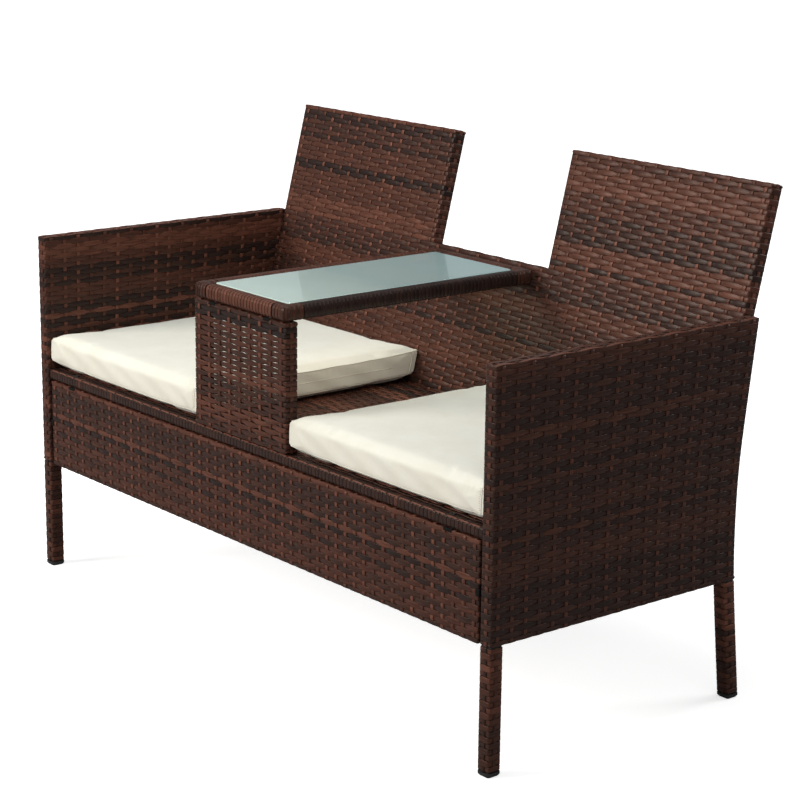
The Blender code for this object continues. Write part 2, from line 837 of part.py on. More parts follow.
def cushion_edge(margin, share, side_steps, corner_steps):
    """Plan of a cushion, shrunk by margin and share: round corners, sides drawn in between them.

    A side lies draw_in * (1 - t * t) inside the straight line between its corners, t from -1 to 1.
    """
    half_x = (cushion_half_x - margin) * share
    half_y = (cushion_half_y - margin) * share
    corner = (cushion_corner_round - margin) * share
    draw = cushion_draw_in * share
    outline = []
    for quarter in range(4):
        turn = math.pi / 2 * quarter
        along, across = (half_y, half_x) if quarter % 2 == 0 else (half_x, half_y)
        straight = along - corner
        for step in range(side_steps):
            t = -1 + 2 * step / side_steps
            inward = across - draw * (1 - t * t)
            outline.append((inward * math.cos(turn) - straight * t * math.sin(turn),
                            inward * math.sin(turn) + straight * t * math.cos(turn)))
        for step in range(corner_steps):
            angle = turn + math.pi / 2 * step / corner_steps
            centre_x = (half_x - corner) * (1 if quarter in (0, 3) else -1)
            centre_y = (half_y - corner) * (1 if quarter in (0, 1) else -1)
            outline.append((centre_x + corner * math.cos(angle), centre_y + corner * math.sin(angle)))
    return outline


def cushion_form(name, side, margin, side_steps, corner_steps, crown_steps, wall_steps):
    """A crowned closed pad: the underside's crown, the bulging side wall and the top's crown."""
    levels = []
    low = cushion_low + margin
    low_seam = cushion_low + cushion_under_crown + margin
    high_seam = cushion_high - margin
    for step in range(1, crown_steps):
        share = step / crown_steps
        levels.append((share, low + cushion_under_crown * share ** 4, 0))
    for step in range(wall_steps + 1):
        t = step / wall_steps
        bulge = cushion_side_bulge * 4 * t * (1 - t)
        levels.append((1, low_seam + (high_seam - low_seam) * t, bulge))
    for step in range(crown_steps - 1, 0, -1):
        share = step / crown_steps
        levels.append((share, high_seam + cushion_top_crown * (1 - share ** 3), 0))
    rings = []
    for share, height, bulge in levels:
        edge = cushion_edge(margin + cushion_side_bulge - bulge, share, side_steps, corner_steps)
        rings.append([(side * cushion_centre_x + x, cushion_centre_y + y, height) for x, y in edge])
    return loft(name, rings)


def zip_strip(name, side, grow, depth):
    """The zip along a cushion's rear wall, which follows the wall's drawn-in curve."""
    middle = (cushion_low + cushion_under_crown + cushion_high) / 2
    half = zip_length / 2 + grow
    reach = cushion_half_x - cushion_corner_round
    outer = []
    inner = []
    for x in between(-half, half, 8):
        inward = cushion_draw_in * (1 - (x / reach) ** 2)
        wall = cushion_centre_y + cushion_half_y - inward
        outer.append((side * cushion_centre_x + x, wall + depth[1]))
        inner.append((side * cushion_centre_x + x, wall - depth[0]))
    outline = inner + list(reversed(outer))
    return prism(name, outline, middle - zip_height / 2 - grow, middle + zip_height / 2 + grow)


def lean_back(solid):
    """Lean a cushion's rear wall to lie along the backrest, with its front left upright.

    A point moves back by tan(recline) * height * s * s, s from 0 at the middle to 1 at the rear.
    """
    for vertex in solid.data.vertices:
        share = max(0, (vertex.co.y - cushion_centre_y) / cushion_half_y)
        vertex.co.y += math.tan(back_recline) * (vertex.co.z - cushion_low) * share ** 2


def make_cushion(side, label):
    """A sewn cover with its foam core inside and its zip at the rear."""
    cover = cushion_form("cushion_cover_" + label, side, 0, 6, 3, 5, 3)
    cut(cover, cushion_form("cavity", side, cover_thickness, 4, 2, 3, 2))
    cut(cover, zip_strip("slit", side, fit_gap, (cover_thickness + cushion_side_bulge, cushion_side_bulge)))
    foam = cushion_form("cushion_foam_" + label, side, cover_thickness + fit_gap, 4, 2, 3, 2)
    strip = zip_strip("cushion_zip_" + label, side, 0, (cover_thickness - fit_gap, 0))
    for solid in (cover, foam, strip):
        lean_back(solid)
    return cover, foam, strip


# The whole bench

def build_bench():
    strand = make_material("brown_strand", (0.085, 0.028, 0.017), 0.42)
    steel = make_material("black_powder_coat", (0.012, 0.012, 0.013), 0.45, 0.3)
    zinc = make_material("black_zinc_bolt", (0.05, 0.05, 0.055), 0.35, 0.9)
    plastic = make_material("black_plastic", (0.01, 0.01, 0.01), 0.5)
    clear_pad = make_material("clear_pad", (0.55, 0.72, 0.80), 0.2)
    frosted = make_material("frosted_glass", (0.62, 0.75, 0.72), 0.25)
    cloth = make_material("cream_cloth", (0.86, 0.83, 0.73), 0.9)
    foam_grey = make_material("white_foam", (0.88, 0.88, 0.84), 0.95)
    zip_cream = make_material("cream_zip", (0.80, 0.77, 0.68), 0.6)

    arms = [make_arm(side, label) for side, label in sides]
    arm_frames = [frame for frame, sleeve in arms]
    arm_sleeves = [sleeve for frame, sleeve in arms]
    back_frame, back_sleeve = make_back()
    seat_frame, seat_sleeve = make_seat()
    skirt_frame, skirt_sleeve = make_skirt()
    support_frame, support_sleeve = make_support()
    table_frame, rim = make_table()
    glass, pads = make_glass()

    back_inner = back_bolt_inner_spread / 2
    back_outer = back_bolt_outer_spread / 2
    table_bolt = table_bolt_spread / 2
    seat_reach = seat_inset + seat_tube / 2 + joint_gap
    table_reach = inset + tube / 2 + joint_gap
    bolts = [
        *fasten_seat_to_arms(arm_frames, arm_sleeves, seat_frame, seat_sleeve),
        *fasten_skirt_to_seat(seat_frame, seat_sleeve, skirt_frame, skirt_sleeve),
        *fasten_from_behind("back_seat_bolt", (-back_outer, -back_inner, back_inner, back_outer),
                            back_seat_bolt_height, seat_reach, back_frame, back_sleeve,
                            seat_frame, seat_sleeve),
        *fasten_from_behind("back_table_bolt", (-table_bolt, table_bolt), back_table_bolt_height,
                            table_reach, back_frame, back_sleeve, table_frame, rim),
        *fasten_back_to_arms(arm_frames, arm_sleeves, back_frame, back_sleeve),
        *fasten_support(seat_frame, seat_sleeve, support_frame, support_sleeve, table_frame, rim),
    ]
    pins, spacers = fasten_skirt_to_legs(arm_frames, arm_sleeves, skirt_frame, skirt_sleeve)

    for solid in (*arm_frames, back_frame, seat_frame, skirt_frame, support_frame, table_frame):
        finish(solid, steel)
    for solid in (*arm_sleeves, back_sleeve, seat_sleeve, skirt_sleeve, support_sleeve, rim):
        finish(solid, strand, smooth=True)
    for solid in (*bolts, *pins):
        finish(solid, zinc, smooth=True)
    for solid in spacers:
        finish(solid, plastic, smooth=True)
    finish(glass, frosted)
    for solid in pads:
        finish(solid, clear_pad, smooth=True)

    for side, label in sides:
        for rear, end in ((False, "front"), (True, "rear")):
            finish(make_leg_wrap(side, rear, f"leg_wrap_{end}_{label}"), strand, smooth=True)
            finish(make_foot(side, rear, f"foot_cap_{end}_{label}"), plastic, smooth=True)
        cover, foam, strip = make_cushion(side, label)
        finish(cover, cloth, smooth=True)
        finish(foam, foam_grey, smooth=True)
        finish(strip, zip_cream)


for old in list(bpy.data.objects):
    bpy.data.objects.remove(old, do_unlink=True)
build_bench()
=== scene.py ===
"""The looks of the woven garden bench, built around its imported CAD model.

Every strand of the wickerwork is a ribbon, computed as a surface of two parameters: the way along
the strand and the way around its flat section. In a panel with u along the rows, v across them and
w out of its front face, row i runs once round the panel through cells s and is sunk under the
panel's outer skin by

    depth(s) = mid_depth - swing * (-1)^i * sign(c) * |c|^WAVE_POWER with c = cos(pi * (s - 1/2)),

so that it passes over and under the stakes, which stand in the middle of each cell. Stake j is sunk
the opposite way. Around a panel's edge the path follows q + (r - depth) * unit(p - q), where p is
the point of the sharp outline and q that point moved inside by the edge's radius r.
"""

import math

import bmesh
import bpy
import numpy as np
from mathutils import Matrix, Vector
from mathutils.bvhtree import BVHTree


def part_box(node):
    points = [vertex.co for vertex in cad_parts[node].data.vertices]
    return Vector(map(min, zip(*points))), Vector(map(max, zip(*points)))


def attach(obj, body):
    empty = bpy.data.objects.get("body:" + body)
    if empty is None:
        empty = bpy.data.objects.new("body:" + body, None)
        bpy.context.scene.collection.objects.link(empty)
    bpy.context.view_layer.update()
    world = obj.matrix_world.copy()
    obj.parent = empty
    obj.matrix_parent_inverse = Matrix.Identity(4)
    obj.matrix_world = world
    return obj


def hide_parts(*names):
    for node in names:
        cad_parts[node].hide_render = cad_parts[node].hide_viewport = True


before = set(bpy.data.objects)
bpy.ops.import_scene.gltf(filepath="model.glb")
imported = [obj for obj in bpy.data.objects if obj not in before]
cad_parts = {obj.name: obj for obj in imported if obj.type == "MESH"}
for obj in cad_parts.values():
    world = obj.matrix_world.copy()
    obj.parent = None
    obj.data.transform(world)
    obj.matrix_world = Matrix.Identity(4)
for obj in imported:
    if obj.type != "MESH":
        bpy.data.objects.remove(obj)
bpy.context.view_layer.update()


def node_box(name):
    """The low and the high corner of a CAD node, to a hundredth of a millimetre."""
    return np.round([tuple(corner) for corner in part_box(name)], 5)


# Sizes read from the CAD model, in metres
(ARM_INNER, FRONT, _), (_, _, ARM_TOP) = node_box("arm_weave_right")
_, (SEAT_HALF, _, SEAT_TOP) = node_box("seat_weave")
(_, _, SKIRT_BOTTOM), (SKIRT_HALF, _, SKIRT_TOP) = node_box("skirt_weave")
(_, _, SUPPORT_BOTTOM), (SUPPORT_HALF, _, SUPPORT_TOP) = node_box("support_weave")
_, (TABLE_HALF, _, TABLE_TOP) = node_box("table_rim_weave")

# Sizes that follow the CAD model's own, in metres
PANEL = 0.028
PANEL_BOTTOM = 0.214
LEG_CENTRE_X = 0.651
SEAT_PANEL = 0.0206
SEAT_SETBACK = 0.003
SEAT_EDGE_DEPTH = 0.0205
SEAT_REAR = 0.1716
SKIRT_SETBACK = 0.0025
SUPPORT_SETBACK = 0.002
BACK_ORIGIN = (0.0, 0.17079, 0.376)
BACK_LEAN = math.radians(14.25)
BACK_LENGTH = 0.5123
NOTCH_HALF = 0.159
NOTCH_START = 0.2941

# The weave, in metres; PROBE is the step that shows which way a surface faces
STRAND_WIDTH = 0.0107
STAKE_WIDTH = 0.0078
CAP_WIDTH = 0.0086
STRAND_THICKNESS = 0.0011
EDGE_MARGIN = 0.0012
EDGE_ROUND = 0.004
MID_DEPTH = 0.0017
SWING = 0.00075
CAP_TUCK, CAP_TURN, CAP_START = 0.0055, 0.002, 0.001
PROBE = 0.001

# The weave's shares of a width, of a wave and of a row, and the rows' greatest tilt in radians
STRAND_TAPER = 0.17
WAVE_POWER = 0.5
REAR_SHIFT_FADE = 0.1
TILT = 0.045

# Places along a strand, counted in cells, and the number of strands on a panel's narrow face
STATIONS_IN_CELL = np.array([0.27, 0.73])
END_INSET = 0.05
TURN_STEPS = (-0.13, -0.06, 0, 0.06, 0.13)
LEAST_STEP = 0.05
ROW_REACH = 0.4
STAKE_REACH = 0.2
CAP_ROWS = 3

# Sections of a strand, as shares of its half width and of its half thickness
FULL_SECTION = ((1, 0), (0.76, 0.9), (-0.76, 0.9), (-1, 0), (-0.76, -0.9), (0.76, -0.9))
PLAIN_SECTION = ((1, 0), (0, 1), (-1, 0), (0, -1))

# Tones of the strands, and what is left of them where strands look darker
RED_TONES = (0.46, 0.6, 0.8)
DARK_TONES = (0.06, 0.28)
# Stake tones sit above the rows' partly as a painted highlight of the lit stake bits
STAKE_TONES_AND_HIGHLIGHT = (0.55, 1.0)
TONE_SPREAD = 0.1
LONGEST_DARK_RUN = 2
# The right arm's darker rows and stakes are painted shade, on the face turned away from the key light
RIGHT_ARM_PAINTED_SHADE_LEAST, RIGHT_ARM_PAINTED_SHADE_SHARE, RIGHT_ARM_PAINTED_SHADE_STAKES = 0.08, 0.5, 0.62
# The lower backrest's smaller share is partly painted shade beneath the table
BACK_LOWER_PAINTED_SHADE_SHARE, BACK_UPPER_SHARE, FRONT_SHARE = 0.72, 0.84, 0.85
SEAT_STAKE_SHARE, LEG_STAKE_SHARE = 0.5, 0.4


# Meshes

def unit(vectors):
    return vectors / np.linalg.norm(vectors, axis=-1, keepdims=True)


def link_object(name, data):
    made = bpy.data.objects.new(name, data)
    bpy.context.scene.collection.objects.link(made)
    return made


def new_object(name, points, quads, ends=()):
    """An object from arrays of points, four-cornered faces and, for capped strands, end faces."""
    mesh = bpy.data.meshes.new(name)
    corners = [quads.reshape(-1)] + [group.reshape(-1) for group in ends]
    sides = [np.full(len(quads), 4)] + [np.full(len(group), group.shape[1]) for group in ends]
    corners, sides = np.concatenate(corners), np.concatenate(sides)
    mesh.vertices.add(len(points))
    mesh.vertices.foreach_set("co", points.astype(np.float32).ravel())
    mesh.loops.add(len(corners))
    mesh.loops.foreach_set("vertex_index", corners.astype(np.int32))
    mesh.polygons.add(len(sides))
    mesh.polygons.foreach_set("loop_start", np.concatenate([[0], np.cumsum(sides)[:-1]]).astype(np.int32))
    mesh.update(calc_edges=True)
    mesh.validate()
    smooth_faces(mesh)
    return link_object(name, mesh)


def smooth_faces(mesh):
    mesh.polygons.foreach_set("use_smooth", np.ones(len(mesh.polygons), bool))


def apply_modifiers(piece):
    evaluated = piece.evaluated_get(bpy.context.evaluated_depsgraph_get())
    mesh = bpy.data.meshes.new_from_object(evaluated)
    piece.modifiers.clear()
    spent, piece.data = piece.data, mesh
    bpy.data.meshes.remove(spent)


def coordinates(mesh):
    points = np.zeros(len(mesh.vertices) * 3, np.float32)
    mesh.vertices.foreach_get("co", points)
    return points.reshape(-1, 3).astype(float)


def move_to(mesh, points):
    mesh.vertices.foreach_set("co", points.astype(np.float32).ravel())
    mesh.update()


def set_attribute(piece, name, values):
    attribute = piece.data.attributes.new(name, "FLOAT", "POINT")
    attribute.data.foreach_set("value", values.astype(np.float32).ravel())


class Strands:
    """Ribbons gathered for one piece, each batch of them with its own number of stations."""

    def __init__(self, section=FULL_SECTION):
        self.section = np.array(section, float)
        self.points, self.quads, self.ends = [], [], []
        self.tone, self.along, self.across = [], [], []
        self.count = 0

    def add(self, centre, side, out, half_width, tone, closed, thickness=STRAND_THICKNESS, tilt=None):
        """Ribbons through centre (strands, stations, 3), facing out, with their width along side.

        tilt turns each station's section about the strand's own line, by an angle in radians.
        """
        strands, stations, _ = centre.shape
        if tilt is not None:
            cosine, sine = np.cos(tilt)[..., None], np.sin(tilt)[..., None]
            side, out = side * cosine + out * sine, out * cosine - side * sine
        turn = len(self.section)
        half_width = np.broadcast_to(half_width, (strands, stations))
        a = self.section[:, 0][None, None, :, None]
        b = self.section[:, 1][None, None, :, None]
        points = (centre[:, :, None] + a * half_width[:, :, None, None] * side[:, :, None]
                  + b * thickness / 2 * out[:, :, None])
        ids = np.arange(strands * stations * turn).reshape(strands, stations, turn) + self.count
        last = stations if closed else stations - 1
        here, there = ids[:, :last], np.roll(ids, -1, axis=1)[:, :last]
        quads = np.stack([here, there, np.roll(there, -1, 2), np.roll(here, -1, 2)], -1)
        tangent = np.roll(centre, -1, 1)[:, 0] - centre[:, 0]
        inside_out = np.einsum("ij,ij->i", np.cross(side[:, 0], out[:, 0]), tangent).mean() > 0
        if inside_out:
            quads = quads[..., ::-1]
        self.quads.append(quads.reshape(-1, 4))
        if not closed:
            first, final = ids[:, 0], ids[:, -1]
            self.ends.append(first[:, ::-1] if inside_out else first)
            self.ends.append(final if inside_out else final[:, ::-1])
        step = np.linalg.norm(np.diff(centre, axis=1), axis=2)
        along = np.concatenate([np.zeros((strands, 1)), np.cumsum(step, 1)], 1)
        shape = (strands, stations, turn)
        self.points.append(points.reshape(-1, 3))
        self.tone.append(np.broadcast_to(np.asarray(tone, float).reshape(-1, 1, 1), shape).ravel())
        self.along.append(np.broadcast_to(along[:, :, None], shape).ravel())
        self.across.append(np.broadcast_to(self.section[:, 0], shape).ravel())
        self.count += strands * stations * turn

    def finish(self, name, material, *nodes, slot="strand"):
        """Make the ribbons one piece, which takes the place of the nodes that are named."""
        piece = new_object(name, np.concatenate(self.points), np.concatenate(self.quads), self.ends)
        set_attribute(piece, "tone", np.concatenate(self.tone))
        set_attribute(piece, "along", np.concatenate(self.along))
        set_attribute(piece, "across", np.concatenate(self.across))
        piece.data.materials.append(material)
        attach(piece, "root")
        if nodes:
            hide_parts(*nodes)
        return piece


def around(point_a, point_b, half_a, half_b, radius, depth):
    """A path sunk by depth under a rectangle's outline with rounded corners, and its outward way.

    half_a and half_b are (low, high) of the rectangle in its two directions.
    """
    inner_a = np.clip(point_a, half_a[0] + radius, half_a[1] - radius)
    inner_b = np.clip(point_b, half_b[0] + radius, half_b[1] - radius)
    away = unit(np.stack(np.broadcast_arrays(point_a - inner_a, point_b - inner_b), -1))
    return (inner_a + away[..., 0] * (radius - depth), inner_b + away[..., 1] * (radius - depth), away)


def in_cells(first, last):
    """Two stations in each cell from first to last."""
    return (np.arange(first, last)[:, None] + STATIONS_IN_CELL).ravel()


def from_end_to_end(first, last):
    """The stations of a strand that ends at both ends of its run of cells."""
    return np.concatenate([[first + END_INSET], in_cells(first, last), [last - END_INSET]])


def over_or_under(number):
    """1 for an even number and -1 for an odd one."""
    return 1 - 2 * (number % 2)


def unevenness(s, rows):
    """A slow wave along a row, from -1 to 1, that differs from row to row."""
    return (np.sin(2.1 * s + 5.3 * rows) + np.sin(1.37 * s - 3.1 * rows + 1)) / 2


class Panel:
    """A woven panel with u along its rows, v across them and w out of its front face.

    place turns arrays of u, v and w into points, and ends gives the panel's two ends at a height v.
    levels is a list of rows and the height v of each. grid holds the cells' borders, as shares of the
    way from end to end. first_stake is the number of the first stake, which the over and under follow
    where panels join. bow pushes a row down where it comes out and up where it goes in.
    """

    def __init__(self, place, ends, levels, cells, first_stake=0, grid=None, thickness=PANEL, swing=SWING,
                 mid_depth=MID_DEPTH, width=STRAND_WIDTH, taper=STRAND_TAPER, steps=5,
                 strand_thickness=STRAND_THICKNESS, rear_drop=(0.0, 0.0), rear_shift=0.0, bow=0.0,
                 edge_margin=EDGE_MARGIN):
        self.place, self.ends, self.cells, self.first_stake = place, ends, cells, first_stake
        self.level_rows, self.level_heights = levels
        self.rows = self.level_rows[-1]
        self.grid = np.linspace(0, 1, cells + 1) if grid is None else grid
        self.half = thickness / 2
        self.swing, self.mid_depth, self.width, self.taper = swing, mid_depth, width, taper
        self.steps, self.thickness, self.edge_margin = steps, strand_thickness, edge_margin
        self.rear_drop, self.rear_shift, self.bow = rear_drop, rear_shift, bow

    def height(self, rows):
        return np.interp(rows, self.level_rows, self.level_heights)

    def depth(self, wave):
        return self.mid_depth - self.swing * wave

    def drop(self, v):
        """How far a row sits lower on the rear face than on the front face, at height v."""
        return np.interp(v, (self.level_heights[0], self.level_heights[-1]), self.rear_drop)

    def shifted(self, share, behind):
        """The rear face's stakes stand rear_shift further along, but for those near the ends."""
        fading = np.clip(np.minimum(share, 1 - share) / REAR_SHIFT_FADE, 0, 1)
        return share + self.rear_shift * behind * fading

    def stations(self, corners, total):
        """Places along a closed path of cells, close together where the path turns a corner."""
        plain = np.arange(total * self.steps) / self.steps + 0.5 / self.steps
        turns = np.concatenate([np.array(corners) + shift for shift in TURN_STEPS]) % total
        apart = np.abs((plain[:, None] - turns[None] + total / 2) % total - total / 2)
        keep = np.min(apart, 1) > LEAST_STEP
        return np.sort(np.concatenate([plain[keep], turns]))

    def add_rows(self, strands, tone, first_row=0, last_row=None):
        """Closed rows round the panel, over and under the stakes."""
        n = self.cells
        s = self.stations([0, n, n + 1, 2 * n + 1], 2 * n + 2)
        knots = [0, n, n + 1, 2 * n + 1, 2 * n + 2]
        cell = np.interp(s, knots, [0, n, n, 0, 0])
        behind = np.interp(s, knots, [0, 0, 1, 1, 0])
        share = self.shifted(np.interp(cell, np.arange(n + 1), self.grid), behind)
        w = self.half * np.interp(s, knots, [1, 1, -1, -1, 1])
        rows = np.arange(first_row, last_row or self.rows)[:, None]
        wave = np.cos(np.pi * (s - 0.5))
        wave = over_or_under(rows + self.first_stake) * (np.sign(wave) * np.abs(wave) ** WAVE_POWER)[None]
        depth = self.depth(wave)

        margin = self.edge_margin
        bottom, top = self.level_heights[0] + margin, self.level_heights[-1] - margin
        nominal = self.height(rows + 0.5)
        at_edge = (rows == 0) * 1.0 - (rows == self.rows - 1)
        drop = self.drop(nominal) * behind + self.bow * wave * (1 - 2 * behind)

        def path(shift):
            v = self.height(rows + 0.5 + shift) + at_edge * margin / 2 - drop
            low, high = self.ends(v)
            u, turned, away = around(low + (high - low) * share, w[None] + 0 * v, (low, high),
                                     (-self.half, self.half), EDGE_ROUND, depth)
            return self.place(u, v + 0 * u, turned), (u, v, turned, away)

        centre, (u, v, turned, away) = path(0.0)
        side = unit(path(ROW_REACH)[0] - path(-ROW_REACH)[0])
        out = unit(self.place(u + away[..., 0] * PROBE, v + 0 * u, turned + away[..., 1] * PROBE) - centre)
        narrowed = self.width * (1 - self.taper * (1 - wave) / 2)
        room = 2 * np.minimum(nominal - bottom, top - nominal) + margin
        strands.add(centre, side, out, np.minimum(narrowed, room) / 2, tone, True, self.thickness,
                    TILT * unevenness(s, rows))

    def add_stakes(self, strands, tone):
        """Closed stakes round the panel, each in the middle of its cell and woven with the cap rows too."""
        n = self.rows
        total = 2 * n + 2 * CAP_ROWS
        t = in_cells(0, total)
        knots = [0, n, n + CAP_ROWS, 2 * n + CAP_ROWS, total]
        row = np.interp(t, knots, [0, n, n, 0, 0])
        w = self.half * np.interp(t, knots, [1, 1, -1, -1, 1])
        behind = np.interp(t, knots, [0, 0, 1, 1, 0])
        v = (self.height(row) - self.drop(self.height(row)) * behind)[None]
        stakes = np.arange(self.cells)[:, None]
        wave = -over_or_under(stakes + self.first_stake) * over_or_under(np.floor(t))[None]
        limits = (self.height(0), self.height(n))

        def path(shift):
            turned_v, turned_w, away = around(v + 0 * stakes, w[None] + 0 * stakes, limits,
                                              (-self.half, self.half), EDGE_ROUND, self.depth(wave))
            low, high = self.ends(turned_v)
            u = low + (high - low) * self.shifted((stakes + 0.5 + shift) / self.cells, behind[None])
            return self.place(u, turned_v, turned_w), (u, turned_v, turned_w, away)

        centre, (u, turned_v, turned_w, away) = path(0.0)
        side = unit(path(STAKE_REACH)[0] - path(-STAKE_REACH)[0])
        out = unit(self.place(u, turned_v + away[..., 0] * PROBE, turned_w + away[..., 1] * PROBE) - centre)
        strands.add(centre, side, out, STAKE_WIDTH / 2, tone, True, self.thickness)

    def add_open_stake(self, strands, centre, out, side, tone):
        strands.add(centre[None], unit(side - centre)[None], unit(out - centre)[None], STAKE_WIDTH / 2,
                    [tone], False, self.thickness)

    def add_edge_stake(self, strands, end, tone, first_row=0):
        """The upright strand in the middle of an end face, woven through the rows that turn there."""
        t = from_end_to_end(first_row, self.rows)
        v = self.height(t)
        outward = 1 if end else -1
        number = self.first_stake + (self.cells if end else 2 * self.cells + 1)
        u = self.ends(v)[end] - outward * self.depth(-over_or_under(number) * over_or_under(np.floor(t)))
        self.add_open_stake(strands, self.place(u, v, 0 * v), self.place(u + outward * PROBE, v, 0 * v),
                            self.place(u, v, 0 * v + PROBE), tone)

    def add_face_stakes(self, strands, tones):
        """One upright strand in the middle of the front and of the rear face, as on a leg."""
        t = from_end_to_end(0, self.rows)
        v = self.height(t)
        low, high = self.ends(v)
        u = (low + high) / 2
        for tone, outward in zip(tones, (1, -1)):
            w = outward * (self.half - self.depth(-over_or_under(np.floor(t))))
            self.add_open_stake(strands, self.place(u, v, w), self.place(u, v, w + outward * PROBE),
                                self.place(u + PROBE, v, w), tone)

    def add_cap_rows(self, strands, top, tone):
        """Three lengthwise strands on the panel's narrow top or bottom face, with their ends turned down."""
        n = self.cells
        level = self.height(self.rows if top else 0)
        outward = 1 if top else -1
        low, high = self.ends(level)
        s = np.linspace(0, n, n * self.steps + 1)[1:-1]
        flat_u = low + (high - low) * s / n
        u = np.concatenate([[low, low, low + CAP_START], flat_u, [high - CAP_START, high, high]])
        turned_down = level - outward * np.array([CAP_TUCK, CAP_TURN, 0])
        v = np.concatenate([turned_down, np.full(len(s), level), turned_down[::-1]])
        index = (self.rows if top else 2 * self.rows + CAP_ROWS) + np.arange(CAP_ROWS)[:, None]
        into_end = [-1, -0.6, 0]
        wave = over_or_under(index + self.first_stake) * np.concatenate(
            [into_end, np.cos(np.pi * (s - 0.5)), into_end[::-1]])[None]
        reach = sorted((level, level - outward * 0.1))
        turned_u, turned_v, away = around(u[None], v[None], (low, high), reach, EDGE_ROUND, self.depth(wave))
        w = CAP_WIDTH * (np.arange(CAP_ROWS)[:, None] - 1) * -outward + 0 * turned_u
        centre = self.place(turned_u, turned_v, w)
        out = unit(self.place(turned_u + away[..., 0] * PROBE, turned_v + away[..., 1] * PROBE, w) - centre)
        side = unit(self.place(turned_u, turned_v, w + PROBE) - centre)
        strands.add(centre, side, out, CAP_WIDTH / 2 * (1 - 0.1 * (1 - wave)), tone, False, self.thickness)

    def add_stakes_and_caps(self, strands, seed, red_share, stake_share=1.0):
        """The stakes, those of both end faces, and the strands on the top and bottom faces."""
        self.add_stakes(strands, stake_share * stake_tones_and_highlight(self.cells, seed + 1))
        for end, tone in enumerate(stake_tones_and_highlight(2, seed + 2)):
            self.add_edge_stake(strands, end, tone)
        self.add_cap_rows(strands, True, row_tones(CAP_ROWS, seed + 3, red_share))
        self.add_cap_rows(strands, False, row_tones(CAP_ROWS, seed + 4, red_share))


# Tones: 0 is the darkest strand and 1 the reddest

def row_tones(count, seed, red_share=0.55, longest_red=5):
    """Strand tones in runs of a few rows, as reels of dark and red strand were used up."""
    rng = np.random.default_rng(seed)
    tones, red = [], False
    while len(tones) < count:
        red = not red or rng.random() < red_share
        run = rng.integers(1, longest_red + 1) if red else rng.integers(1, LONGEST_DARK_RUN + 1)
        base = rng.choice(RED_TONES) if red else rng.uniform(*DARK_TONES)
        tones.extend(base + rng.uniform(-TONE_SPREAD, TONE_SPREAD, run))
    return np.clip(tones[:count], 0, 1)


def stake_tones_and_highlight(count, seed):
    """Each stake has a tone of its own from the light end of the range; part of that lightness is a painted
    highlight of the lit, convex stake bits.
    """
    return np.random.default_rng(seed).uniform(*STAKE_TONES_AND_HIGHLIGHT, count)


# Node materials

def fill(tree, node, inputs):
    """Give a node its inputs, by name or in order: an output is linked in, a plain value is set."""
    for key, value in (inputs.items() if isinstance(inputs, dict) else enumerate(inputs)):
        if isinstance(value, bpy.types.NodeSocket):
            tree.links.new(value, node.inputs[key])
        else:
            node.inputs[key].default_value = value


def add_node(tree, kind, inputs=(), **settings):
    node = tree.nodes.new(kind)
    for name, value in settings.items():
        setattr(node, name, value)
    fill(tree, node, inputs)
    return node


def new_material(name):
    material = bpy.data.materials.new(name)
    material.use_nodes = True
    return material, material.node_tree, material.node_tree.nodes["Principled BSDF"]


def object_place(tree):
    return add_node(tree, "ShaderNodeTexCoord").outputs["Object"]


def noise(tree, place, scale, detail=2.0, roughness=0.5):
    inputs = {"Vector": place, "Scale": scale, "Detail": detail, "Roughness": roughness}
    return add_node(tree, "ShaderNodeTexNoise", inputs).outputs["Fac"]


def stretched(tree, vector, factors):
    return add_node(tree, "ShaderNodeVectorMath", (vector, factors), operation="MULTIPLY").outputs[0]


def map_range(tree, value, source, target):
    return add_node(tree, "ShaderNodeMapRange", (value, *source, *target)).outputs["Result"]


def bumped(tree, height, strength, distance, **under):
    """The normal of a surface raised by height, over another normal where one is given."""
    inputs = {"Height": height, "Strength": strength, "Distance": distance, **under}
    return add_node(tree, "ShaderNodeBump", inputs).outputs["Normal"]


def ramp(tree, value, stops):
    node = add_node(tree, "ShaderNodeValToRGB", (value,))
    elements = node.color_ramp.elements
    while len(elements) < len(stops):
        elements.new(0.5)
    for element, (position, colour) in zip(elements, stops):
        element.position = position
        element.color = (*colour, 1)
    return node.outputs["Color"]


def strand_material():
    """Satin plastic strand: its tone picks a brown, with faint streaks and grooves along it."""
    material, tree, shader = new_material("strand")
    tone, along, across = (add_node(tree, "ShaderNodeAttribute", attribute_name=name).outputs["Fac"]
                           for name in ("tone", "along", "across"))
    way = add_node(tree, "ShaderNodeCombineXYZ", (along, across, tone)).outputs[0]
    streaks = noise(tree, stretched(tree, way, (22, 1.4, 40)), 1.0, 3.0, 0.6)
    grooves = noise(tree, stretched(tree, way, (5, 9, 60)), 1.0)
    shift = map_range(tree, streaks, (0, 1), (-0.42, 0.42))
    mixed = add_node(tree, "ShaderNodeMath", (tone, shift), operation="ADD", use_clamp=True).outputs[0]
    brown = ramp(tree, mixed, [(0.0, (0.019, 0.0115, 0.0100)), (0.28, (0.031, 0.0160, 0.0128)),
                               (0.6, (0.072, 0.0270, 0.0175)), (1.0, (0.150, 0.0560, 0.0360))])
    fill(tree, shader, {"Base Color": brown, "Normal": bumped(tree, grooves, 0.35, 0.0004),
                        "Roughness": 0.32, "Specular IOR Level": 0.17,
                        "Specular Tint": (1.0, 0.80, 0.72, 1)})
    return material


def plain_material(name, colour, roughness, metallic=0.0, grain=0.0, specular=0.5):
    """A painted or moulded surface with a slight unevenness in its finish."""
    material, tree, shader = new_material(name)
    unevenness = noise(tree, object_place(tree), 220.0, 3.0)
    limits = (max(roughness - 0.06, 0), min(roughness + 0.06, 1))
    fill(tree, shader, {"Base Color": (*colour, 1), "Metallic": metallic, "Specular IOR Level": specular,
                        "Roughness": map_range(tree, unevenness, (0, 1), limits)})
    if grain:
        fill(tree, shader, {"Normal": bumped(tree, unevenness, 0.3, grain)})
    return material


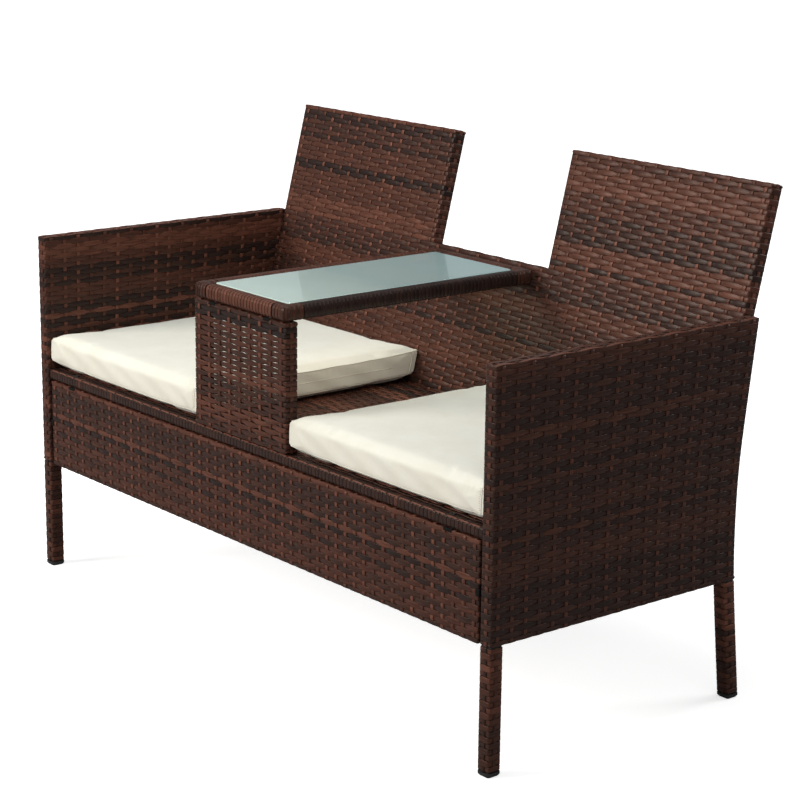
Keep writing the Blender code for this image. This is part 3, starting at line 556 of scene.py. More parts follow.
def glass_material():
    """Pale tempered glass, frosted from below and glossy above, with a painted reflection of the dark
    backrest that darkens it towards the rear.
    """
    material, tree, shader = new_material("glass")
    place = object_place(tree)
    painted_reflection_y = add_node(tree, "ShaderNodeSeparateXYZ", (place,)).outputs["Y"]
    # Painted reflection: the tint darkens towards the rear, where the glass mirrors the dark backrest
    shade = add_node(tree, "ShaderNodeMath", (noise(tree, place, 9.0), 0.12, painted_reflection_y),
                     operation="MULTIPLY_ADD").outputs[0]
    tint = ramp(tree, map_range(tree, shade, (-0.20, 0.30), (0, 1)),
                [(0.0, (0.62, 0.74, 0.68)), (0.45, (0.44, 0.57, 0.55)), (1.0, (0.34, 0.50, 0.50))])
    fill(tree, shader, {"Base Color": tint, "Roughness": 0.3, "Transmission Weight": 0.15, "IOR": 1.5,
                        "Coat Weight": 1.0, "Coat Roughness": 0.03})
    shadow_ray = add_node(tree, "ShaderNodeLightPath").outputs["Is Shadow Ray"]
    clear = add_node(tree, "ShaderNodeBsdfTransparent", {"Color": (0.80, 0.88, 0.85, 1)})
    mix = add_node(tree, "ShaderNodeMixShader", (shadow_ray, shader.outputs[0], clear.outputs[0]))
    fill(tree, tree.nodes["Material Output"], {"Surface": mix.outputs[0]})
    return material


def pad_material():
    material, tree, shader = new_material("clear_pad")
    tint = ramp(tree, noise(tree, object_place(tree), 60.0),
                [(0.3, (0.42, 0.52, 0.56)), (0.7, (0.5, 0.6, 0.64))])
    fill(tree, shader, {"Base Color": tint, "Roughness": 0.25, "Transmission Weight": 0.5})
    return material


def cloth_material():
    """Cream polyester with a fine weave and soft unevenness."""
    material, tree, shader = new_material("cushion_cloth")
    place = object_place(tree)
    tint = ramp(tree, noise(tree, place, 14.0, 4.0, 0.6),
                [(0.3, (0.73, 0.695, 0.59)), (0.7, (0.78, 0.75, 0.655))])
    threads = [add_node(tree, "ShaderNodeTexWave", {"Vector": place, "Scale": 420.0, "Distortion": 0.4},
                        bands_direction=way).outputs["Fac"] for way in "XY"]
    crossed = add_node(tree, "ShaderNodeMath", threads, operation="MAXIMUM").outputs[0]
    fine = bumped(tree, crossed, 0.15, 0.0003)
    soft = bumped(tree, noise(tree, place, 16.0, 3.0), 0.25, 0.006, Normal=fine)
    fill(tree, shader, {"Base Color": tint, "Normal": soft, "Roughness": 0.85, "Sheen Weight": 0.2})
    return material


STRAND = strand_material()
STEEL = plain_material("steel", (0.012, 0.011, 0.011), 0.45)
ZINC = plain_material("bolt", (0.10, 0.095, 0.09), 0.35, metallic=0.9)
FOOT = plain_material("foot_plastic", (0.013, 0.012, 0.012), 0.5, grain=0.0001)
GLASS = glass_material()
PAD = pad_material()
CLOTH = cloth_material()
THREAD = plain_material("thread", (0.62, 0.57, 0.46), 0.8)
ZIP = plain_material("zip", (0.55, 0.50, 0.40), 0.6)
FOAM = plain_material("foam", (0.75, 0.73, 0.68), 0.9)
TAB = plain_material("tab", (0.007, 0.0065, 0.006), 0.8, specular=0.1)
NODE_MATERIALS = (("_frame", STEEL), ("foot_cap", FOOT), ("glass_top", GLASS), ("glass_pad", PAD),
                  ("bolt", ZINC), ("_pin", ZINC), ("skirt_spacer", FOOT), ("foam", FOAM), ("zip", ZIP),
                  ("cover", CLOTH), ("weave", STRAND), ("leg_wrap", STRAND))


def dress_nodes():
    """Give each CAD node the material of the first name part that its own name holds."""
    for name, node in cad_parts.items():
        for part, material in NODE_MATERIALS:
            if part in name:
                node.data.materials.clear()
                node.data.materials.append(material)
                break


# Woven panels

ARM_DEPTH = 0.541
BEND_SOFTNESS = 0.030
SPLAY_TOP = PANEL_BOTTOM + 0.026
LEG_SPLAY = 0.0276
ARM_LEAN = 0.034


def straight(low, high):
    """The ends of a panel that is equally wide at every height."""
    return lambda v: (low + 0 * np.asarray(v, float), high + 0 * np.asarray(v, float))


def rear_edge(height):
    """Y of an arm's rear edge, with both bends faded in by the soft ramp s * log(1 + exp(t / s))."""
    below = BEND_SOFTNESS * np.log1p(np.exp((SPLAY_TOP - height) / BEND_SOFTNESS))
    above = BEND_SOFTNESS * np.log1p(np.exp((height - SEAT_TOP) / BEND_SOFTNESS))
    return FRONT + ARM_DEPTH + LEG_SPLAY * below / SPLAY_TOP + ARM_LEAN * above / (ARM_TOP - SEAT_TOP)


def weave_arm(side, label, seed):
    """An arm's panel; the right one's strands are darkened as painted shade, as it faces away from the key
    light.
    """
    cells, rows = 19, 50
    centre_x = side * (ARM_INNER + PANEL / 2)
    tones, stake_share = row_tones(rows, seed, 0.42, 2), 1.0
    # Painted shade: the right arm's row and stake tones are darkened
    if side > 0:
        tones, stake_share = RIGHT_ARM_PAINTED_SHADE_LEAST + RIGHT_ARM_PAINTED_SHADE_SHARE * tones, RIGHT_ARM_PAINTED_SHADE_STAKES

    def place(u, v, w):
        return np.stack(np.broadcast_arrays(centre_x + side * w, u, v), -1)

    panel = Panel(place, lambda v: (FRONT + 0 * v, rear_edge(v)), ([0, rows], [PANEL_BOTTOM, ARM_TOP]), cells)
    strands = Strands()
    panel.add_rows(strands, tones)
    strands.finish("arm_rows_" + label, STRAND, "arm_weave_" + label)
    strands = Strands()
    panel.add_stakes_and_caps(strands, seed, 0.2, stake_share)
    strands.finish("arm_stakes_" + label, STRAND)


def weave_back():
    """The backrest: rows run across all of it below the notch, and across each upright above it."""
    low_rows, rows, side_cells, middle_cells = 33, 57, 17, 11
    borders = np.concatenate([np.linspace(-SEAT_HALF, -NOTCH_HALF, side_cells + 1),
                              np.linspace(-NOTCH_HALF, NOTCH_HALF, middle_cells + 1)[1:],
                              np.linspace(NOTCH_HALF, SEAT_HALF, side_cells + 1)[1:]])
    up = Vector((0, math.sin(BACK_LEAN), math.cos(BACK_LEAN)))
    face = Vector((0, -math.cos(BACK_LEAN), math.sin(BACK_LEAN)))

    def place(u, v, w):
        inward = w - PANEL / 2
        return np.stack(np.broadcast_arrays(u, BACK_ORIGIN[1] + up.y * v + face.y * inward,
                                            BACK_ORIGIN[2] + up.z * v + face.z * inward), -1)

    levels = ([0, low_rows, rows], [0, NOTCH_START, BACK_LENGTH])
    whole = Panel(place, straight(-SEAT_HALF, SEAT_HALF), levels, 2 * side_cells + middle_cells,
                  grid=(borders + SEAT_HALF) / (2 * SEAT_HALF))
    left = Panel(place, straight(-SEAT_HALF, -NOTCH_HALF), levels, side_cells)
    right = Panel(place, straight(NOTCH_HALF, SEAT_HALF), levels, side_cells, side_cells + middle_cells)
    low = Panel(place, straight(-NOTCH_HALF, NOTCH_HALF), ([0, low_rows], [0, NOTCH_START]), middle_cells,
                side_cells)
    strands = Strands()
    # The lower rows are darker than the upper ones, partly as painted shade beneath the table
    whole.add_rows(strands, BACK_LOWER_PAINTED_SHADE_SHARE * row_tones(low_rows, 40, 0.6), last_row=low_rows)
    strands.finish("back_rows_lower", STRAND, "back_weave")
    strands = Strands()
    for upright, seed in ((left, 41), (right, 42)):
        tones = BACK_UPPER_SHARE * row_tones(rows - low_rows, seed, 0.6)
        upright.add_rows(strands, tones, first_row=low_rows)
    strands.finish("back_rows_upper", STRAND)
    strands = Strands()
    for panel, seed in ((left, 43), (right, 44), (low, 45)):
        panel.add_stakes(strands, stake_tones_and_highlight(panel.cells, seed))
    for upright, notch_end in ((left, 1), (right, 0)):
        upright.add_cap_rows(strands, True, row_tones(CAP_ROWS, 46 + upright.first_stake, 0.4))
        for end, seed in ((1, 47), (0, 48)):
            upright.add_edge_stake(strands, end, stake_tones_and_highlight(1, seed)[0], low_rows if end == notch_end else 0)
    low.add_cap_rows(strands, True, row_tones(CAP_ROWS, 49, 0.4))
    whole.add_cap_rows(strands, False, row_tones(CAP_ROWS, 50, 0.4))
    strands.finish("back_stakes", STRAND)


def weave_front(name, half, levels, setback, cells, rows, seed, red_share, longest_red, **settings):
    """A panel that stands upright and faces forward."""
    centre_y = FRONT + setback + PANEL / 2

    def place(u, v, w):
        return np.stack(np.broadcast_arrays(u, centre_y - w, v), -1)

    panel = Panel(place, straight(-half, half), ([0, rows], levels), cells, **settings)
    strands = Strands()
    panel.add_rows(strands, FRONT_SHARE * row_tones(rows, seed, red_share, longest_red))
    panel.add_stakes_and_caps(strands, seed, 0.6)
    strands.finish(name + "_strands", STRAND, name + "_weave")


def weave_skirt_and_support():
    weave_front("skirt", SKIRT_HALF, (SKIRT_BOTTOM, SKIRT_TOP), SKIRT_SETBACK, 51, 19, 30, 0.42, 2)
    weave_front("support", SUPPORT_HALF, (SUPPORT_BOTTOM, SUPPORT_TOP), SUPPORT_SETBACK, 9, 25, 36, 0.6, 4,
                width=0.0096, taper=0.335, rear_drop=(0.00284, 0.00025), rear_shift=-0.0204, bow=0.0003)


def add_tabs():
    """The frame's dark tabs: on the support's and the skirt's upper edges and beside the skirt."""
    depth, lowered = 0.004, 0.0002
    spots = ((0.08, SUPPORT_SETBACK, SUPPORT_TOP, 0.0095, 0.0052),
             (0.555, SKIRT_SETBACK, SKIRT_TOP, 0.0105, 0.0052),
             (0.6285, 0.0023, 0.3015, 0.0045, 0.0120))
    corners = np.array([[x, y, z] for x in (-1, 1) for y in (0, 1) for z in (-1, 0)], float)
    quads = np.array([[0, 1, 3, 2], [4, 6, 7, 5], [0, 4, 5, 1], [2, 3, 7, 6], [0, 2, 6, 4], [1, 5, 7, 3]])
    points, faces = [], []
    for x, setback, top, half, height in spots:
        for side in (-1, 1):
            faces.append(quads + len(corners) * len(faces))
            middle = np.array([side * x, FRONT + setback, top - lowered])
            points.append(middle + corners * (half, depth, height))
    tabs = new_object("frame_tabs", np.concatenate(points), np.concatenate(faces))
    bevel = tabs.modifiers.new("bevel", "BEVEL")
    bevel.width, bevel.segments = 0.0007, 2
    apply_modifiers(tabs)
    tabs.data.materials.clear()
    tabs.data.materials.append(TAB)
    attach(tabs, "root")


SEAT_MIDDLE = SEAT_TOP - SEAT_PANEL / 2


def weave_seat():
    """The seat's flat weave, with finer and thinner strands than the panels that stand."""
    cells, rows = 45, 53

    def place(u, v, w):
        return np.stack(np.broadcast_arrays(u, v, SEAT_MIDDLE + w), -1)

    levels = ([0, rows], [FRONT + SEAT_EDGE_DEPTH, SEAT_REAR])
    panel = Panel(place, straight(-SEAT_HALF, SEAT_HALF), levels, cells, thickness=SEAT_PANEL, swing=0.0004,
                  mid_depth=0.00105, width=0.0114, taper=0.12, steps=3, strand_thickness=0.0009,
                  edge_margin=0.0)
    strands = Strands(PLAIN_SECTION)
    panel.add_rows(strands, row_tones(rows, 60, 0.35))
    strands.finish("seat_rows", STRAND, "seat_weave")
    strands = Strands(PLAIN_SECTION)
    panel.add_stakes(strands, stake_tones_and_highlight(cells, 61) * SEAT_STAKE_SHARE)
    strands.finish("seat_stakes", STRAND)


def wind_seat_front():
    """Dark bands wound round the seat's front edge, a few of them red."""
    count, overlap, tilt, red, red_share = 136, 0.51, 0.012, 0.65, 0.05
    pitch = 2 * SEAT_HALF / count
    centres = np.zeros((count, 3))
    centres[:, 0] = -SEAT_HALF + pitch * (np.arange(count) + 0.5)
    centres[:, 1] = FRONT + SEAT_SETBACK + SEAT_EDGE_DEPTH / 2
    centres[:, 2] = SEAT_MIDDLE
    rng = np.random.default_rng(62)
    tones = np.where(rng.random(count) < red_share, red, rng.uniform(0.2, 0.36, count))
    strands = Strands()
    wind(strands, centres, np.tile([0.0, -1.0, 0.0], (count, 1)), np.tile([1.0, 0.0, 0.0], (count, 1)),
         pitch * overlap, tilt, tones, (SEAT_EDGE_DEPTH / 2, SEAT_PANEL / 2), 0.0045, 0.0007)
    strands.finish("seat_front_windings", STRAND)


def lay_edge_strand():
    """A strand along the seat's front edge, in the reddest tone as a painted highlight of that edge, over
    some of the bands and under the others.

    It is sunk by sink * (1 - over), with over = 2.6 sin(pi * (x / pitch + 0.25 sin(9 x))) - 0.4 kept
    between 0 and 1, where the bracket counts from 0 to 1 again and again.
    """
    inset, count, pitch, sink, steepness = 0.004, 400, 0.0285, 0.0021, math.radians(40)
    behind_edge, below_top, half_width, thickness = 0.0016, 0.0014, 0.0013, 0.0009
    x = np.linspace(-SEAT_HALF + inset, SEAT_HALF - inset, count)
    over = np.clip(2.6 * np.sin(np.pi * ((x / pitch + 0.25 * np.sin(9 * x)) % 1)) - 0.4, 0, 1)
    out = np.array([0, -math.sin(steepness), math.cos(steepness)])
    edge = np.array([0, FRONT + SEAT_SETBACK + behind_edge, SEAT_TOP - below_top])
    centre = edge + x[:, None] * np.array([1.0, 0, 0]) + (sink * over - sink)[:, None] * out
    side = np.tile([0, math.cos(steepness), math.sin(steepness)], (count, 1))
    strands = Strands()
    # Tone 1.0, the reddest, is a painted highlight along the seat's top front edge
    strands.add(centre[None], side[None], np.tile(out, (1, count, 1)), half_width, [1.0], False, thickness)
    strands.finish("seat_edge_strand", STRAND)


def weave_legs():
    """Leg windings: closed rows round each leg, over and under one upright strand on each face."""
    rows, bottom, top = 21, 0.0085, PANEL_BOTTOM - 0.0005
    for side, label in ((-1, "left"), (1, "right")):
        for rear in (False, True):

            def place(u, v, w):
                shift = rear_edge(v) - PANEL if rear else FRONT + 0 * v
                return np.stack(np.broadcast_arrays(side * (LEG_CENTRE_X + w), u + shift, v), -1)

            panel = Panel(place, straight(0, PANEL), ([0, rows], [bottom, top]), 1)
            seed = 70 + 4 * rear + (side > 0)
            strands = Strands()
            panel.add_rows(strands, row_tones(rows, seed, 0.75))
            for end, tone in enumerate(LEG_STAKE_SHARE * stake_tones_and_highlight(2, seed + 20)):
                panel.add_edge_stake(strands, end, tone)
            panel.add_face_stakes(strands, LEG_STAKE_SHARE * stake_tones_and_highlight(2, seed + 30))
            name = ("rear_" if rear else "front_") + label
            strands.finish("leg_strands_" + name, STRAND, "leg_wrap_" + name)


# Windings

WOUND_DEPTH = 0.0013
ROUND_BAR = np.linspace(0, 4, 17)[:-1]
BAR_CORNERS = [0, 0.5, 1.5, 2.5, 3.5, 4]
BAR_A = np.interp(ROUND_BAR, BAR_CORNERS, [1, 1, -1, -1, 1, 1])
BAR_B = np.interp(ROUND_BAR, BAR_CORNERS, [0, 1, 1, -1, -1, 0])


def wind(strands, centres, outward, tangents, half_width, tilt, tones, halves, radius, thickness=0.0013):
    """Bands wound round a bar, each tilted a little so that its one edge lies over the next band."""
    half_a, half_b = halves
    turned_a, turned_b, away = around(half_a * BAR_A, half_b * BAR_B, (-half_a, half_a), (-half_b, half_b),
                                      radius, WOUND_DEPTH)
    up = np.array([0, 0, 1.0])
    centre = centres[:, None] + turned_a[None, :, None] * outward[:, None] + turned_b[None, :, None] * up
    out = away[None, :, :1] * outward[:, None] + away[None, :, 1:] * up
    side = unit(tangents[:, None] + tilt * out)
    strands.add(centre, side, unit(out - tilt * tangents[:, None]), half_width, tones, True, thickness)


def wind_rim():
    """Bands wound round the table's ring: straight runs whose tones carry painted light and shade, and a fan
    of four bands at each corner.
    """
    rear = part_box("table_rim_weave")[1].y
    half, round_edge, band, overlap, corner_bands, gap = PANEL / 2, 0.009, 0.0084, 0.53, 3, 0.0022
    fan_bands, fan_tilt, fan_tones, tilt, corner_tones = 4, 0.05, (0.3, 0.6), 0.07, (0.35, 0.6)
    middle = (FRONT + rear) / 2
    reach = (TABLE_HALF - half, (rear - FRONT) / 2 - half)
    fan_widths = 0.0030 + 0.0026 * BAR_A
    first = 0.0042 + band * np.arange(corner_bands)
    begin = first[-1] + band / 2 + gap
    # Each straight run has a tone of its own, darkest on the right side and lightest at the front: painted
    # shade and light, by how each side faces the key light
    lit_and_shaded_run_tones = (0.12, 0.5, 0.6, 0.8)
    signs = ((1, -1), (1, 1), (-1, 1), (-1, -1))
    corners = [np.array([sx * reach[0], middle + sy * reach[1], TABLE_TOP - half]) for sx, sy in signs]
    rng = np.random.default_rng(90)
    strands = Strands()
    for index, (sx, sy) in enumerate(signs):
        corner = corners[index]
        start = math.atan2(sy, 0) if sx * sy < 0 else math.atan2(0, sx)
        angles = start + math.radians(90) * (np.arange(fan_bands) + 0.5) / fan_bands
        outward = np.stack([np.cos(angles), np.sin(angles), 0 * angles], -1)
        tangents = np.stack([-np.sin(angles), np.cos(angles), 0 * angles], -1)
        wind(strands, np.tile(corner, (fan_bands, 1)), outward, tangents, fan_widths[None], fan_tilt,
             rng.uniform(*fan_tones, fan_bands), (half, half), round_edge)
        run = corners[(index + 1) % 4] - corner
        length = np.linalg.norm(run)
        run = run / length
        count = int((length - 2 * begin) // band)
        pitch = (length - 2 * begin) / count
        places = np.concatenate([first, begin + pitch * (np.arange(count) + 0.5), length - first])
        tones = np.concatenate([rng.uniform(*corner_tones, corner_bands),
                                lit_and_shaded_run_tones[index] + rng.uniform(-TONE_SPREAD, TONE_SPREAD, count),
                                rng.uniform(*corner_tones, corner_bands)])
        wind(strands, corner + places[:, None] * run, np.tile([run[1], -run[0], 0.0], (len(places), 1)),
             np.tile(run, (len(places), 1)), band * overlap, tilt, tones, (half, half), round_edge)
    strands.finish("table_rim_bands", STRAND, "table_rim_weave")


# Cushions

CUSHION_INNER, CUSHION_OUTER = 0.1375, 0.6355
CUSHION_FRONT, CUSHION_REAR = FRONT + 0.008, 0.1763
CUSHION_BOTTOM = 0.4018
CUSHION_HALF = ((CUSHION_OUTER - CUSHION_INNER) / 2, (CUSHION_REAR - CUSHION_FRONT) / 2)
CUSHION_CENTRE = ((CUSHION_OUTER + CUSHION_INNER) / 2, (CUSHION_REAR + CUSHION_FRONT) / 2)
LOWER_SEAM, UPPER_SEAM, CROWN = 0.007, 0.0565, 0.0665
CUSHION_CORNER = 0.008
BLANK_SHRINK = 0.004
CLOTH_GRID = 0.0052
CLOTH_FRAMES = 20
CLOTH_REACH = 0.010

# Folds and rounding of the cover, in metres
PUCKER, PUCKER_PITCH, PUCKER_BAND = 0.00065, 0.0125, 0.009
FOLD, WALL_SINK, WALL_DEPTH = 0.0014, 0.0012, 0.005
CORNER_LIFT, CORNER_PULL = 0.0095, 0.005
FRONT_DROP, FRONT_DROP_DEPTH = 0.0045, 0.012
FRONT_ROUND, FRONT_ROUND_DEPTH = 0.0050, 0.004
SWELL, CORNER_RAY, CORNER_RAY_LENGTH = 0.0005, 0.0006, 0.09

# Half width and thickness of what is sewn on, in metres
UPPER_CORD, LOWER_CORD, CORNER_CORD = (0.0015, 0.0022), (0.0011, 0.0014), (0.0011, 0.0018)
SIDE_CORD, STITCH, ZIP_STRIP = (0.0006, 0.0009), (0.0005, 0.0008), (0.003, 0.0009)


def cushion_outline(half, corner, steps):
    """Points round a rectangle with rounded corners, from the rear end of its right side."""
    points = []
    for sx, sy, start in ((1, 1, 0), (-1, 1, 90), (-1, -1, 180), (1, -1, 270)):
        angles = np.radians(start + np.linspace(0, 90, steps))
        way = np.stack([np.cos(angles), np.sin(angles)], -1)
        points.append(np.array([sx * (half[0] - corner), sy * (half[1] - corner)]) + corner * way)
    return np.concatenate(points)


def cushion_blank(name):
    """A plain boxed cushion, a little smaller than the sewn cover, before it is blown up."""
    outline = cushion_outline([half - BLANK_SHRINK for half in CUSHION_HALF], CUSHION_CORNER, 7)
    bm = bmesh.new()
    lower = [bm.verts.new((x, y, LOWER_SEAM)) for x, y in outline]
    upper = [bm.verts.new((x, y, UPPER_SEAM)) for x, y in outline]
    bm.faces.new(list(reversed(lower)))
    bm.faces.new(upper)
    for index in range(len(outline)):
        follower = (index + 1) % len(outline)
        bm.faces.new((lower[index], lower[follower], upper[follower], upper[index]))
    mesh = bpy.data.meshes.new(name)
    bm.to_mesh(mesh)
    bm.free()
    return link_object(name, mesh)


def blow_up(piece):
    """Cloth under pressure for CLOTH_FRAMES frames, with no vertex moved further than CLOTH_REACH."""
    start = coordinates(piece.data)
    cloth = piece.modifiers.new("cloth", "CLOTH")
    settings = cloth.settings
    settings.quality = 5
    settings.mass = 0.25
    settings.tension_stiffness = settings.compression_stiffness = 22
    settings.shear_stiffness = 6
    settings.bending_stiffness = 0.35
    settings.use_pressure = True
    settings.uniform_pressure_force = 4
    settings.effector_weights.gravity = 0
    cloth.collision_settings.use_collision = False
    cloth.point_cache.frame_start, cloth.point_cache.frame_end = 1, CLOTH_FRAMES
    scene = bpy.context.scene
    for number in range(1, CLOTH_FRAMES + 1):
        scene.frame_set(number)
    evaluated = piece.evaluated_get(bpy.context.evaluated_depsgraph_get())
    moved = coordinates(evaluated.data) - start
    piece.modifiers.remove(cloth)
    scene.frame_set(1)
    reach = np.linalg.norm(moved, axis=1, keepdims=True)
    move_to(piece.data, start + moved * np.minimum(1, CLOTH_REACH / np.maximum(reach, 1e-9)))


def blown_mesh():
    """The mesh that both cushions start from, around its own middle and with its lowest point at 0."""
    cushion = cushion_blank("cushion_blank")
    remesh = cushion.modifiers.new("remesh", "REMESH")
    remesh.mode = "VOXEL"
    remesh.voxel_size = CLOTH_GRID
    apply_modifiers(cushion)
    blow_up(cushion)
    points = coordinates(cushion.data)
    least, most = points.min(0), points.max(0)
    low = np.array([-CUSHION_HALF[0], -CUSHION_HALF[1], 0])
    high = np.array([CUSHION_HALF[0], CUSHION_HALF[1], CROWN])
    move_to(cushion.data, (points - least) / (most - least) * (high - low) + low)
    smooth = cushion.modifiers.new("subdivision", "SUBSURF")
    smooth.levels = smooth.render_levels = 1
    apply_modifiers(cushion)
    mesh = cushion.data
    bpy.data.objects.remove(cushion)
    return mesh


def creased(points, phase):
    """Soft folds, puckers beside the seams, a rounded front edge and lifted corners.

    With s the way along a wall and z the height, a wall's point moves out by a sum of sines:
    PUCKER sin(2 pi s / PUCKER_PITCH + 2 sin(40 s)) (0.6 + 0.4 sin(23 s)) near each seam, and
    FOLD sin(70 s + 3 phase + 9 z / CROWN) sin(pi z / CROWN) - WALL_SINK between them. With a and b as
    shares of the way from the middle to the sides, corners rise by CORNER_LIFT (a b)^5 and are pulled
    out by CORNER_PULL (a b)^7. The front edge sinks and draws back, fading with the distance from it.
    """
    x, y, z = points.T
    gap_x, gap_y = CUSHION_HALF[0] - np.abs(x), CUSHION_HALF[1] - np.abs(y)
    wall = np.exp(-np.minimum(gap_x, gap_y) / WALL_DEPTH)
    s = np.where(gap_x < gap_y, y, x) + phase
    near_upper, near_lower = (np.exp(-((z - seam) / PUCKER_BAND) ** 2) for seam in (UPPER_SEAM, LOWER_SEAM))
    pucker = PUCKER * np.sin(2 * np.pi * s / PUCKER_PITCH + 2 * np.sin(40 * s)) * (0.6 + 0.4 * np.sin(23 * s))
    fold = FOLD * np.sin(70 * s + 3 * phase + 9 * z / CROWN) * np.sin(np.pi * z / CROWN)
    outward = (pucker * (near_upper + 0.8 * near_lower) + fold - WALL_SINK) * wall
    moved = points.copy()
    moved[:, 0] += np.where(gap_x < gap_y, np.sign(x) * outward, 0)
    moved[:, 1] += np.where(gap_x < gap_y, 0, np.sign(y) * outward)
    a, b = np.abs(x) / CUSHION_HALF[0], np.abs(y) / CUSHION_HALF[1]
    for axis in (0, 1):
        pulled = moved[:, axis] + np.sign(points[:, axis]) * CORNER_PULL * (a * b) ** 7
        moved[:, axis] = np.clip(pulled, -CUSHION_HALF[axis], CUSHION_HALF[axis])
    upper_part = np.clip((z - 0.3 * CROWN) / (0.7 * CROWN), 0, 1)
    moved[:, 2] -= FRONT_DROP * np.exp(-gap_y / FRONT_DROP_DEPTH) * (y < 0) * upper_part
    moved[:, 1] += FRONT_ROUND * np.exp(-gap_y / FRONT_ROUND_DEPTH) * (y < 0) * upper_part ** 2
    rim = np.clip(np.maximum(a, b), 0, 1)
    swell = SWELL * np.sin(26 * x + 11 * y + phase) * np.sin(19 * y - 9 * x + 2 * phase)
    turn = np.arctan2(gap_y + 0.004, gap_x + 0.004)
    ray = CORNER_RAY * np.sin(14 * turn) * np.exp(-(gap_x + gap_y) / CORNER_RAY_LENGTH)
    lift = CORNER_LIFT * (a * b) ** 5 * (1 - 0.55 * z / CROWN)
    moved[:, 2] += lift + np.where(z > CROWN / 2, swell * (1 - rim ** 4) + ray, 0)
    return moved


def lean(y, z):
    """How far the rear wall leans back: tan(recline) * z * s * s, s the way from the middle to the rear."""
    return math.tan(BACK_LEAN) * z * np.clip(y / CUSHION_HALF[1], 0, None) ** 2


def sew(strands, tree, targets, closed, half_width, thickness, sink=0.0, least_step=0.0004):
    """A raised line on a cushion, through the points of its surface that are nearest to the targets."""
    found = [tree.find_nearest(Vector(target)) for target in targets]
    ways = unit(np.array([way for _, way, _, _ in found]))
    places = np.array([place for place, _, _, _ in found]) - sink * ways
    apart = np.concatenate([[True], np.linalg.norm(np.diff(places, axis=0), axis=1) > least_step])
    places, ways = places[apart], ways[apart]
    ahead = np.roll(places, -1, 0) - np.roll(places, 1, 0)
    if not closed:
        ahead[0], ahead[-1] = places[1] - places[0], places[-1] - places[-2]
    side = unit(np.cross(ahead, ways))
    strands.add(places[None], side[None], unit(np.cross(side, ahead))[None], half_width, [0.5], closed,
                thickness)


def level_line(outline, height, lift, push):
    """A line round a cushion: pushed out from its outline, lifted at the corners, leaning at the rear."""
    a, b = np.abs(outline[:, 0]) / CUSHION_HALF[0], np.abs(outline[:, 1]) / CUSHION_HALF[1]
    pushed = outline * (1 + push / CUSHION_HALF[0])
    return np.stack([pushed[:, 0], pushed[:, 1] + lean(outline[:, 1], height),
                     height + lift * (a * b) ** 5], -1)


def sew_level_seams(seams, tree, centre):
    """The seam round the bottom, and the one round the top that leaves out the front edge."""
    steps, side_steps = 6, 40
    corners = cushion_outline(CUSHION_HALF, CUSHION_CORNER, steps)
    outline = np.concatenate([
        np.linspace(corners[i], corners[(i + 1) % len(corners)], side_steps if i % steps == steps - 1 else 2,
                    endpoint=False) for i in range(len(corners))])
    front_middle = int(np.argmin(np.abs(outline[:, 0]) + 10 * (outline[:, 1] + CUSHION_HALF[1])))
    order = np.roll(np.arange(len(outline)), -front_middle)
    upper = level_line(outline, UPPER_SEAM + 0.004, 0.005, 0.004) + centre
    upper = upper[order][outline[order][:, 1] > -CUSHION_HALF[1] + 0.006]
    lower = level_line(outline, LOWER_SEAM - 0.003, 0.009, 0.003) + centre
    sew(seams, tree, upper, False, *UPPER_CORD)
    sew(seams, tree, lower, True, *LOWER_CORD)


def sew_cushion(tree, centre, label):
    """Seams round the top, the bottom and up the corners, stitches beside them, and the zip."""
    seams, stitches, zipper = Strands(), Strands(), Strands()
    sew_level_seams(seams, tree, centre)
    seam_inset, raised = 0.009, 0.006
    stitch_way = np.array([0.0062, 0.0042, 0.0022])
    heights = np.linspace(LOWER_SEAM + 0.002, UPPER_SEAM, 14)
    for sx, sy in ((1, -1), (-1, -1), (1, 1), (-1, 1)):
        on_front_or_rear = sx * sy < 0
        inset = (seam_inset, 0.0) if on_front_or_rear else (0.0, seam_inset)
        corner = np.array([sx, sy]) * (np.array(CUSHION_HALF) - inset)
        leaning = math.tan(BACK_LEAN) * heights * (sy > 0)
        targets = np.stack([corner[0] + 0 * heights, corner[1] + leaning, heights + raised], -1) + centre
        sew(seams, tree, targets, False, *CORNER_CORD)
        inward = np.array([-sx, 0, 0] if on_front_or_rear else [0, -sy, 0])
        for place in targets[1:-1]:
            sew(stitches, tree, place + stitch_way[:, None] * inward, False, *STITCH)
    side_height, side_reach = 0.033, 0.2
    side_line = np.linspace([CUSHION_HALF[0], -side_reach, side_height],
                            [CUSHION_HALF[0], side_reach, side_height], 30)
    sew(seams, tree, side_line + centre, False, *SIDE_CORD)
    seams.finish("cushion_seams_" + label, CLOTH, slot="cushion_cloth")
    stitches.finish("cushion_stitches_" + label, THREAD, slot="cushion_cloth")
    zip_height, zip_reach, zip_sink = 0.032, 0.18, 0.0002
    rear = CUSHION_HALF[1] + math.tan(BACK_LEAN) * zip_height
    zip_line = np.linspace([-zip_reach, rear, zip_height], [zip_reach, rear, zip_height], 40)
    sew(zipper, tree, zip_line + centre, False, *ZIP_STRIP, zip_sink)
    zipper.finish("cushion_zip_strip_" + label, ZIP, slot="zip")


def make_cushion(side, label, blown):
    cushion = link_object("cushion_" + label, blown.copy())
    centre = np.array([side * CUSHION_CENTRE[0], CUSHION_CENTRE[1], CUSHION_BOTTOM])
    points = creased(coordinates(cushion.data), 1.0 + side)
    points[:, 1] += lean(points[:, 1], points[:, 2])
    move_to(cushion.data, points + centre)
    smooth_faces(cushion.data)
    cushion.data.materials.clear()
    cushion.data.materials.append(CLOTH)
    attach(cushion, "root")
    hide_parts("cushion_cover_" + label, "cushion_foam_" + label, "cushion_zip_" + label)
    tree = BVHTree.FromObject(cushion, bpy.context.evaluated_depsgraph_get())
    sew_cushion(tree, centre, label)


# Stage

FLOOR_SIZE = 60
FLOOR_FADE = (0.9, 3.0)
FLOOR_LIFT = 0.62
FLOOR_BOUNCE = 0.35
AMBIENT = 0.25
WHITE = (1, 1, 1, 1)

